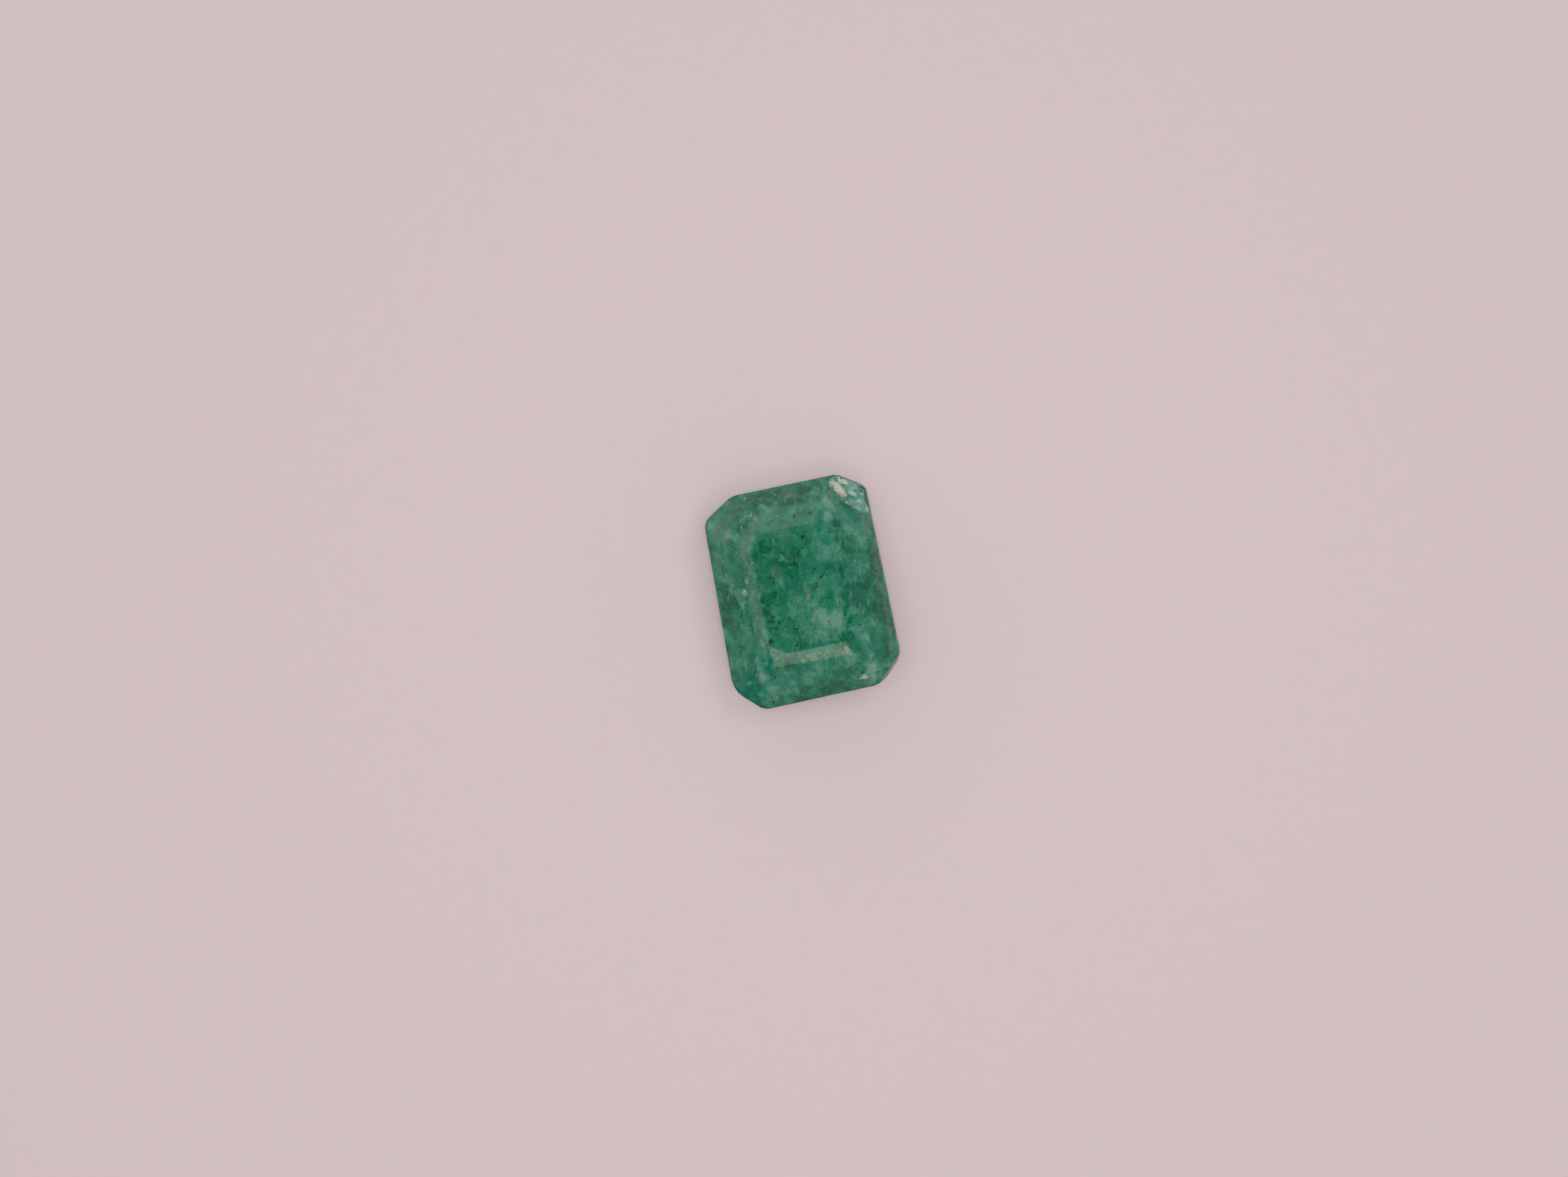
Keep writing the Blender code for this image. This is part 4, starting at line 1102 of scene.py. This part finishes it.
def cloud_cover(points, form, rim, seed):
    """How far a cloud of the lists covers points: 1 well inside its rim and 0 outside it."""
    across, along, width, length, turn = form
    cosine, sine = math.cos(math.radians(turn)), math.sin(math.radians(turn))
    away = points[:, :2] - np.array([across, along]) * MM
    wide = (away[:, 0] * cosine + away[:, 1] * sine) / (width * MM / 2.0)
    long = (away[:, 1] * cosine - away[:, 0] * sine) / (length * MM / 2.0)
    return smooth_step(polygon_gauge(wide, long, np.random.default_rng(seed)), *rim)


def polygon_gauge(across, along, chance):
    """How far out points lie in an uneven polygon: 1 on its outline, less inside it.

    The polygon has five to eight sides, each with its own direction and distance. The gauge
    is the largest of a point's reach in a side's direction over that side's distance.
    """
    sides = int(chance.integers(5, 9))
    turns = (np.arange(sides) + chance.uniform(-0.3, 0.3, sides)) * 2.0 * np.pi / sides
    distances = chance.uniform(0.78, 1.05, sides)
    gauge = np.full(across.shape, -1.0)
    for turn, distance in zip(turns, distances):
        reach = (across * math.cos(turn) + along * math.sin(turn)) / distance
        np.maximum(gauge, reach, out=gauge)
    return gauge


def shard_layers(points, count, seed):
    """Tone, from -1 to 1, of see-through shards that lie over each other under the facets.

    Each shard is an uneven polygon in its facet's plane. It covers what lies below it by its
    opacity, which falls from one end of it to the other, so only one edge of it is crisp.
    """
    chance = np.random.default_rng(seed)
    ways = unit(chance.normal(size=(count, 3)) * [1.0, 1.0, 0.8] + [0.0, 0.0, 0.35])
    middles = MIDDLE + ways * facet_reach(ways, 0.0, SHARD_SHARPNESS)[:, None]
    normals = FACET_NORMALS[(ways @ FACET_NORMALS.T / FACET_HEIGHTS).argmax(axis=1)]
    frames = np.stack(facet_frames(normals, chance.normal(0.0, 0.6, count)), 1)
    tone = np.zeros(len(points))
    for middle, axes in zip(middles, frames):
        half_length = 0.5 * MM * chance.uniform(0.5, 1.1) ** 2
        half = half_length * np.array([chance.uniform(0.35, 0.8), 1.0])
        near = np.flatnonzero(((points - middle) ** 2).sum(axis=1) < (1.4 * half[1]) ** 2)
        place = (points[near] - middle) @ axes[:2].T / half
        gauge = polygon_gauge(place[:, 0], place[:, 1], chance)
        slope = smooth_step(place[:, int(chance.integers(2))], -1.1, 1.1)
        opacity = chance.uniform(0.3, 0.9)
        cover = opacity * smooth_step(gauge, 1.0, 1.0 - chance.uniform(0.08, 0.4))
        own = chance.choice((0.9, 0.6, 0.3, -0.3, -0.6, -0.8))
        tone[near] += (own - tone[near]) * cover * (0.15 + 0.85 * slope)
    return tone


# ---------------------------------------------------------------- grains, flecks and threads


class EMERALD_OT_grains(bpy.types.Operator):
    """Lay the grains, spots, flecks, healed cracks, fibres and rings over the heart"""

    bl_idname = "emerald.grains"
    bl_label = "Grains"

    def execute(self, context):
        settings = context.scene.emerald_grains
        ground = heart_tree()
        place_dark_grains(ground, settings.cover)
        place_milky_spots(ground, settings.cover)
        place_tan_flecks(ground, settings.cover)
        place_healed_cracks(ground, settings.cover, settings.crack_count)
        place_fibres(ground, settings.cover)
        place_rings(ground, settings.cover)
        return {"FINISHED"}


def heart_tree():
    """The heart's surface, ready for looking down on it."""
    heart = bpy.data.objects["clouded_heart"].data
    faces = [list(face.vertices) for face in heart.polygons]
    return BVHTree.FromPolygons(column(heart.vertices, "co", 3).tolist(), faces)


def laid_on_heart(plan, over, ground, cover):
    """Points of the plan, each a height over the heart, and under the crown by the cover."""
    flat = plan.reshape(-1, 2)
    heights, _ = hits_from_above(ground, flat)
    tops, _ = crown_facet(flat[:, 0], flat[:, 1])
    heights = np.minimum(heights + np.ravel(over), tops - cover)
    return np.column_stack([flat, heights]).reshape(*plan.shape[:-1], 3)


def lay_patches(name, table, thickness, ground, cover, swelling, rough, seed, grid):
    """A piece of rounded irregular patches laid over the heart.

    Each row of the table gives a patch's place across and along, width, length, turn and
    tone. The patch is a globe whose radius is one plus rough times a wave field of its own,
    scaled to its width, length and thickness times the swelling, turned in its facet and bent
    to follow the heart. Each point is marked with all that its colour needs: the rim is how
    near it lies to its patch's rim, 0 in the middle and 1 there.
    """
    directions, quads, triangles = globe_grid(*grid)
    places = table[:, :2] * MM
    halves = np.column_stack([table[:, 2:4], thickness]) * swelling * MM / 2.0
    _, normals = crown_facet(places[:, 0], places[:, 1])
    across, along, _ = facet_frames(normals, np.radians(table[:, 4]))
    shifted = directions[None] + np.arange(len(table))[:, None, None] * 7.31
    radius = 1.0 + rough * wave_field(shifted, 1.3, seed)
    radius += 0.5 * rough * wave_field(shifted, 0.55, seed + 1)
    body = directions[None] * radius[..., None] * halves[:, None, :]
    plan = body[..., :1] * across[:, None, :2] + body[..., 1:2] * along[:, None, :2]
    verts = laid_on_heart(places[:, None, :] + plan, body[..., 2], ground, cover)
    points, faces = many(verts, quads, triangles)
    rim = np.tile(np.hypot(directions[:, 0], directions[:, 1]), len(table))
    tone = np.repeat(table[:, 5], len(directions))
    return mesh_object(name, points, faces, tone=tone, rim=rim, **cloud_marks(points))


def place_dark_grains(ground, cover):
    """Small dark green, brown and rusty grains, blurred at their rims."""
    table = np.array(DARK_GRAINS)
    thickness = 0.2 * table[:, 2:4].min(axis=1)
    form = {"swelling": 1.4, "rough": 0.30, "seed": 21, "grid": (9, 16)}
    grains = lay_patches("dark_grains", table, thickness, ground, cover, **form)
    stops = [(0.0, (0.01, 0.12, 0.085)), (0.5, (0.045, 0.14, 0.10)), (1.0, (0.095, 0.125, 0.09))]
    material = patch_material("dark_mineral", stops, solid=0.62, clear=1.00, grain=22000.0)
    finish_piece(grains, "mineral_grain", material)


def place_milky_spots(ground, cover):
    """Pale rounded spots and short streaks of tiny bubbles, thinning out at their rims."""
    table = np.array(MILKY_SPOTS)
    thickness = 0.08 * table[:, 2:4].min(axis=1)
    form = {"swelling": 1.25, "rough": 0.30, "seed": 31, "grid": (12, 22)}
    spots = lay_patches("milky_spots", table, thickness, ground, cover, **form)
    stops = [(0.0, (0.10, 0.52, 0.38)), (0.5, (0.32, 0.66, 0.52)), (1.0, (0.98, 0.97, 0.85))]
    material = patch_material(
        "milky_bubbles", stops, solid=0.30, clear=0.95, grain=9000.0, depth=0.20
    )
    finish_piece(spots, "veil", material)


def place_tan_flecks(ground, cover):
    """Thin tan and cream flecks of mica: the listed ones, and faint ones down the middle."""
    chance = np.random.default_rng(43)
    strewn = np.column_stack([
        chance.normal(-0.15, 0.62, STREWN_FLECKS),
        chance.uniform(-2.6, 1.2, STREWN_FLECKS),
        chance.uniform(0.025, 0.055, STREWN_FLECKS),
        chance.uniform(0.05, 0.14, STREWN_FLECKS),
        chance.normal(-5.0, 22.0, STREWN_FLECKS),
        chance.uniform(0.0, 0.45, STREWN_FLECKS),
    ])
    table = np.concatenate([TAN_FLECKS, strewn])
    form = {"swelling": 1.25, "rough": 0.42, "seed": 41, "grid": (9, 16)}
    flecks = lay_patches("tan_flecks", table, 0.12 * table[:, 2], ground, cover, **form)
    stops = [(0.0, (0.20, 0.46, 0.32)), (0.5, (0.42, 0.57, 0.43)), (1.0, (0.72, 0.76, 0.61))]
    material = patch_material("tan_mica", stops, solid=0.25, clear=0.95, grain=16000.0)
    finish_piece(flecks, "mineral_grain", material)


def place_healed_cracks(ground, cover, count):
    """Small leaves of healed cracks strewn under the whole crown, dark to milky."""
    chance = np.random.default_rng(61)
    plan = chance.uniform(-1.0, 1.0, (count, 2)) * CRACK_FIELD
    from_corner = np.hypot(*(plan - CRACK_FREE_PLACE).T)
    inside = np.abs(plan).sum(axis=1) < CRACK_FIELD_SUM
    plan = plan[inside & (from_corner > CRACK_FREE_REACH)]
    count = len(plan)
    length = chance.uniform(0.08, 0.42, count)
    width = length * chance.uniform(0.25, 0.60, count)
    turn = chance.normal(-5.0, 28.0, count)
    table = np.column_stack([plan, width, length, turn, chance.beta(1.4, 2.0, count)])
    form = {"swelling": 1.0, "rough": 0.45, "seed": 62, "grid": (7, 14)}
    leaves = lay_patches("healed_cracks", table, 0.05 * width, ground, cover, **form)
    stops = [(0.0, (0.02, 0.33, 0.18)), (0.5, (0.10, 0.50, 0.34)), (1.0, (0.42, 0.70, 0.58))]
    material = patch_material(
        "healed_crack", stops, solid=0.40, clear=1.00, grain=7000.0, depth=0.20
    )
    finish_piece(leaves, "veil", material)


def tubes(paths, radii, sides=7):
    """Closed round threads along many paths of the same number of points.

    Round each point runs a ring of the point's own radius, square to the path. A tip stands
    before the first ring and after the last one, as far out as its radius.
    """
    ahead = unit(np.gradient(paths, axis=1))
    aside = unit(np.cross(ahead, [0.0, 0.0, 1.0]))
    over = np.cross(aside, ahead)
    turns = np.arange(sides)[:, None] * 2.0 * np.pi / sides
    ring = np.cos(turns) * aside[:, :, None, :] + np.sin(turns) * over[:, :, None, :]
    rings = paths[:, :, None, :] + radii[:, :, None, None] * ring
    tips = np.stack([-ahead[:, 0], ahead[:, -1]], 1) * radii[:, [0, -1], None]
    tips += paths[:, [0, -1]]
    verts = [tips[:, :1], rings.reshape(len(paths), -1, 3), tips[:, 1:]]
    return np.concatenate(verts, axis=1), *capped_rings(paths.shape[1], sides)


def lay_threads(name, plan, radii, tones, ground, cover, material):
    """A piece of round threads, each with a tone, half sunk in the heart along the plan."""
    paths = laid_on_heart(plan, 0.3 * radii, ground, 1.2 * radii.max() + cover)
    verts, quads, triangles = tubes(paths, radii)
    points, faces = many(verts, quads, triangles)
    threads = mesh_object(name, points, faces, tone=np.repeat(tones, verts.shape[1]))
    finish_piece(threads, "mineral_grain", material)


def place_fibres(ground, cover):
    """Curved fibres, crack lines and dark clefts.

    Wave fields make them wobble to the sides and vary in width. They taper towards both ends.
    """
    flat = np.zeros((len(FIBRES), FIBRE_POINTS, 3))
    flat[..., :2] = [smooth_path(points, FIBRE_POINTS) for points, _, _ in FIBRES]
    flat *= MM
    flat[..., 0] += FIBRE_WOBBLE * wave_field(flat, 0.22 * MM, seed=51)
    taper = 0.35 + 0.65 * np.sin(np.linspace(0.08, 0.92, FIBRE_POINTS) * np.pi)
    knots = 0.75 + 0.45 * wave_field(flat, 0.13 * MM, seed=53)
    radii = np.array([width for _, width, _ in FIBRES])[:, None] * MM * taper * knots
    tones = [0.9 - 0.9 * dark for _, _, dark in FIBRES]
    stops = [(0.0, (0.015, 0.230, 0.130)), (0.55, (0.28, 0.68, 0.56)), (0.9, (0.44, 0.48, 0.36))]
    material = toned_material("fibre_mineral", stops)
    lay_threads("fibres", flat[..., :2], radii, tones, ground, cover, material)


def place_rings(ground, cover):
    """Small dark rings round clear bubbles, not quite closed and a little longer than wide."""
    turns = np.linspace(0.0, 2.0 * np.pi * 0.96, RING_POINTS)
    places, reach, paleness = np.split(np.array(RINGS), [2, 3], axis=1)
    circle = np.stack([np.cos(turns), np.sin(turns)], -1) * [0.8, 1.1]
    plan = (places[:, None] + reach[:, None] * circle) * MM
    radii = np.full(plan.shape[:2], RING_HALF_WIDTH)
    stops = [(0.0, (0.03, 0.24, 0.16)), (1.0, (0.40, 0.50, 0.30))]
    material = toned_material("ring_mineral", stops)
    lay_threads("bubble_rings", plan, radii, paleness, ground, cover, material)


# ---------------------------------------------------------------- the broken corner


class EMERALD_OT_corner(bpy.types.Operator):
    """Lay the bruised white crusts and crumbs over the broken corner"""

    bl_idname = "emerald.corner"
    bl_label = "Broken corner"

    def execute(self, context):
        shape = merged_stone()
        surface = BVHTree.FromBMesh(shape)
        shape.free()
        place_crusts(surface)
        place_crumbs(surface)
        return {"FINISHED"}


def place_crusts(surface):
    """Thin crusts that follow the break, closed below by a copy sunk in the stone."""
    crusts = [crust(surface, index, *row[:2]) for index, row in enumerate(CORNER_CRUSTS)]
    tops = np.array([points for points, _ in crusts])
    verts = np.concatenate([tops, tops - [0.0, 0.0, CRUST_THICKNESS]], axis=1)
    quads = closed_slab(CRUST_ROWS, CRUST_COLUMNS)
    points, faces = many(verts, quads, np.zeros((0, 3), int))
    rim = np.tile([marks for _, marks in crusts], 2).ravel()
    tone = np.repeat([paleness for _, _, paleness in CORNER_CRUSTS], verts.shape[1])
    crusts = mesh_object("corner_crusts", points, faces, tone=tone, rim=rim)
    material = bruised_material("bruised_crust")
    thin_out(material, 0.50, 1.05, 15000.0)
    finish_piece(crusts, "mineral_grain", material)


def crust(surface, index, points, half_widths):
    """One crust's upper points, and how near each lies to its rim, from 0 to 1.

    It is a ribbon along a smooth line: a point goes a share of the half width to each side,
    shaken by a wave field, up to the stone's surface, and higher by a low mound, one less the
    square of the rim, broken by another wave field.
    """
    shares = np.linspace(-1.0, 1.0, CRUST_COLUMNS)
    steps = np.linspace(0.0, 1.0, CRUST_ROWS)
    spine = smooth_path(points, CRUST_ROWS)
    ahead = unit(np.gradient(spine, axis=0))
    aside = np.stack([ahead[:, 1], -ahead[:, 0]], -1)
    widths = np.interp(steps, np.linspace(0.0, 1.0, len(half_widths)), half_widths)
    plan = spine[:, None, :] + (widths[:, None] * shares)[..., None] * aside[:, None, :]
    flat = np.dstack([plan, np.full(plan.shape[:2], float(index))])
    for axis in range(2):
        plan[..., axis] += 0.03 * wave_field(flat, 0.22, seed=84 + axis, count=30)
    heights, _ = hits_from_above(surface, plan.reshape(-1, 2) * MM)
    rim = np.maximum(np.abs(shares)[None, :], np.abs(2.0 * steps - 1.0)[:, None])
    broken = 0.5 + 0.5 * wave_field(flat, 0.07, seed=86, count=40)
    mound = (1.0 - rim**2) * broken * 0.022 - 0.002
    top = np.dstack([plan * MM, heights.reshape(rim.shape) + mound * MM])
    return top.reshape(-1, 3), rim.ravel()


def closed_slab(rows, columns):
    """Faces that close a slab: a grid of points above, the same grid below, and its rim."""
    index = np.arange(rows * columns).reshape(rows, columns)
    top = np.stack([index[:-1, :-1], index[:-1, 1:], index[1:, 1:], index[1:, :-1]], -1)
    top = top.reshape(-1, 4)
    walk = np.concatenate([index[0, :-1], index[:-1, -1], index[-1, :0:-1], index[:0:-1, 0]])
    after = np.roll(walk, -1)
    below = rows * columns
    wall = np.stack([walk, walk + below, after + below, after], -1)
    return np.concatenate([top, top[:, [0, 3, 2, 1]] + below, wall])


def place_crumbs(surface):
    """Small crumbs strewn along the crusts, half sunk in the break.

    Each is a globe with a radius of one plus a quarter of a wave field of its own, scaled to
    its width, length and thickness along the axes of the surface under it.
    """
    chance = np.random.default_rng(81)
    count = CRUMB_COUNT
    plan = CRUMB_START + chance.uniform(0.0, 1.0, (count, 1)) * CRUMB_RUN
    plan += np.column_stack([chance.uniform(-side, side, count) for side in CRUMB_SIDES])
    plan *= MM
    heights, normals = hits_from_above(surface, plan)
    width = chance.uniform(0.02, 0.06, (count, 1))
    shares = [np.ones(count), chance.uniform(1.0, 1.8, count), np.full(count, 0.5)]
    halves = width * np.column_stack(shares) * MM / 2.0
    directions, quads, triangles = globe_grid(7, 11)
    shifted = directions[None] + np.arange(count)[:, None, None] * 3.91
    radius = 1.0 + 0.25 * wave_field(shifted, 1.2, seed=82)
    axes = np.stack(facet_frames(normals, chance.uniform(0.0, np.pi, count)), 1)
    axes = axes * halves[..., None]
    centres = np.column_stack([plan, heights]) - 0.5 * axes[:, 2]
    verts = centres[:, None, :] + (directions[None] * radius[..., None]) @ axes
    points, faces = many(verts, quads, triangles)
    tone = np.repeat(chance.uniform(0.55, 1.0, count), verts.shape[1])
    crumbs = mesh_object("corner_crumbs", points, faces, tone=tone)
    finish_piece(crumbs, "mineral_grain", bruised_material("bruised_crumb"))


# ---------------------------------------------------------------- the stage


class EMERALD_OT_stage(bpy.types.Operator):
    """Set out the pale floor, the soft light and the camera"""

    bl_idname = "emerald.stage"
    bl_label = "Stage"

    def execute(self, context):
        settings = context.scene.emerald_stage
        make_floor_light(make_floor(settings))
        make_world()
        make_lamps()
        make_camera(settings)
        context.scene.view_settings.view_transform = "Standard"
        return {"FINISHED"}


def make_floor(settings):
    """A wide matt floor just under the stone."""
    half = FLOOR_HALF_WIDTH
    corners = [[-half, -half], [half, -half], [half, half], [-half, half]]
    verts = [[*corner, -FLOOR_GAP] for corner in corners]
    floor = mesh_object("floor", verts, [[0, 1, 2, 3]], smooth=False)
    matt = {"Roughness": 0.75, "Specular IOR Level": 0.2}
    material, tree, shader = new_material("pale_floor", matt)
    fibre = noise(tree, object_place(tree), 1200.0, 4.0, 0.6)
    low = tuple(channel * 0.985 for channel in settings.floor)
    feed(tree, shader.inputs["Base Color"], blend(tree, fibre, low, tuple(settings.floor)))
    floor.data.materials.append(material)
    return floor


def new_lamp(name, kind, **settings):
    """A new lamp of a kind, with its settings."""
    light = bpy.data.lights.new(name, kind)
    for setting, value in settings.items():
        setattr(light, setting, value)
    lamp = bpy.data.objects.new(name, light)
    bpy.context.scene.collection.objects.link(lamp)
    return lamp


def make_floor_light(floor):
    """Light from straight above that falls on the floor alone, and keeps the shadow narrow."""
    lamp = new_lamp("floor_light", "SUN", energy=2.0, angle=math.radians(9.0))
    lit = bpy.data.collections.new("lit_floor")
    lit.objects.link(floor)
    lamp.light_linking.receiver_collection = lit


def direction(turn, lift):
    """The way towards a place at a turn round the stone and a lift over the floor, in degrees."""
    turn, lift = math.radians(turn), math.radians(lift)
    flat = math.cos(lift)
    return Vector((math.cos(turn) * flat, math.sin(turn) * flat, math.sin(lift)))


def make_world():
    """Soft light from all round, dim straight overhead, dark at one side and bright at another."""
    world = bpy.data.worlds.new("soft_room")
    bpy.context.scene.world = world
    world.use_nodes = True
    tree = world.node_tree
    way = add_node(tree, "TexCoord", {}).outputs["Generated"]
    height = add_node(tree, "SeparateXYZ", {"Vector": way}).outputs["Z"]
    stops = [
        (0.0, (0.672, 0.565, 0.571)),
        (0.14, (0.672, 0.575, 0.58)),
        (0.50, (0.46, 0.43, 0.43)),
        (0.88, (0.46, 0.44, 0.44)),
        (0.975, (0.05, 0.05, 0.05)),
    ]
    sides = (
        # (turn and lift of the side's middle, inner and outer edge as cosines, change of light)
        (225.0, 32.0, 0.95, 0.84, -0.50),
        (115.0, 28.0, 0.95, 0.50, 0.45),
    )
    share = 0.72
    for turn, lift, inner, outer, change in sides:
        near = vector_sum(tree, "DOT_PRODUCT", way, direction(turn, lift), "Value")
        share = sums(tree, "ADD", spread(tree, near, outer, inner, 0.0, change), share)
    sky = vector_sum(tree, "MULTIPLY", ramp(tree, height, stops), share)
    feed(tree, tree.nodes["Background"].inputs["Color"], sky)


def make_lamps():
    """Broad soft lamps: four beside the camera, and lower ones before, left and behind."""
    white, warm = (1.0, 0.985, 0.975), (1.0, 0.86, 0.72)
    lamps = (
        # (name, turn, lift, distance, width, radiance, colour)
        ("lamp_over_right", 20.0, 74.0, 0.16, 0.056, 6.0, white),
        ("lamp_over_back", 140.0, 78.0, 0.16, 0.042, 6.0, white),
        ("lamp_over_left", 205.0, 73.0, 0.16, 0.060, 1.9, white),
        ("lamp_over_front", 290.0, 78.0, 0.16, 0.042, 6.8, white),
        ("lamp_before", 269.0, 58.0, 0.25, 0.11, 1.4, warm),
        ("lamp_left", 182.0, 52.0, 0.25, 0.13, 0.5, white),
        ("lamp_behind", 92.0, 40.0, 0.25, 0.22, 0.48, white),
    )
    for name, turn, lift, distance, size, radiance, colour in lamps:
        energy = radiance * math.pi * math.pi * (size / 2.0) ** 2
        lamp = new_lamp(name, "AREA", shape="DISK", size=size, energy=energy, color=colour)
        way = direction(turn, lift)
        lamp.location = way * distance
        lamp.rotation_euler = way.to_track_quat("Z", "Y").to_euler()
        lamp.visible_camera = False


def make_camera(settings):
    """A camera straight above, turned about its axis, that frames the stone off centre."""
    lens = bpy.data.cameras.new("camera")
    lens.sensor_width = SENSOR_WIDTH
    lens.lens = SENSOR_WIDTH * settings.camera_height / settings.frame_width
    lens.clip_start = 0.001
    lens.clip_end = 10.0
    camera = bpy.data.objects.new("camera", lens)
    bpy.context.scene.collection.objects.link(camera)
    camera.location = CAMERA_AIM + Vector((0.0, 0.0, settings.camera_height))
    camera.rotation_euler = (0.0, 0.0, settings.turn)
    bpy.context.scene.camera = camera


# ---------------------------------------------------------------- the panel and the run


class EMERALD_PT_panel(bpy.types.Panel):
    """Lists the steps that dress the emerald"""

    bl_idname = "EMERALD_PT_panel"
    bl_label = "Cut Emerald"
    bl_space_type = "VIEW_3D"
    bl_region_type = "UI"
    bl_category = "Emerald"

    def draw(self, context):
        for operator in OPERATORS:
            self.layout.operator(operator.bl_idname)


SETTINGS = (
    ("emerald_stone", StoneSettings),
    ("emerald_heart", HeartSettings),
    ("emerald_grains", GrainSettings),
    ("emerald_stage", StageSettings),
)
OPERATORS = (
    EMERALD_OT_stage,
    EMERALD_OT_stone,
    EMERALD_OT_heart,
    EMERALD_OT_grains,
    EMERALD_OT_corner,
)


def register():
    for name, group in SETTINGS:
        bpy.utils.register_class(group)
        setattr(bpy.types.Scene, name, bpy.props.PointerProperty(type=group))
    for operator in OPERATORS:
        bpy.utils.register_class(operator)
    bpy.utils.register_class(EMERALD_PT_panel)


def unregister():
    bpy.utils.unregister_class(EMERALD_PT_panel)
    for operator in reversed(OPERATORS):
        bpy.utils.unregister_class(operator)
    for name, group in reversed(SETTINGS):
        delattr(bpy.types.Scene, name)
        bpy.utils.unregister_class(group)


def main():
    """Dress the stone."""
    register()
    bpy.ops.emerald.stage()
    bpy.ops.emerald.stone()
    bpy.ops.emerald.heart()
    bpy.ops.emerald.grains()
    bpy.ops.emerald.corner()


if __name__ == "__main__":
    main()
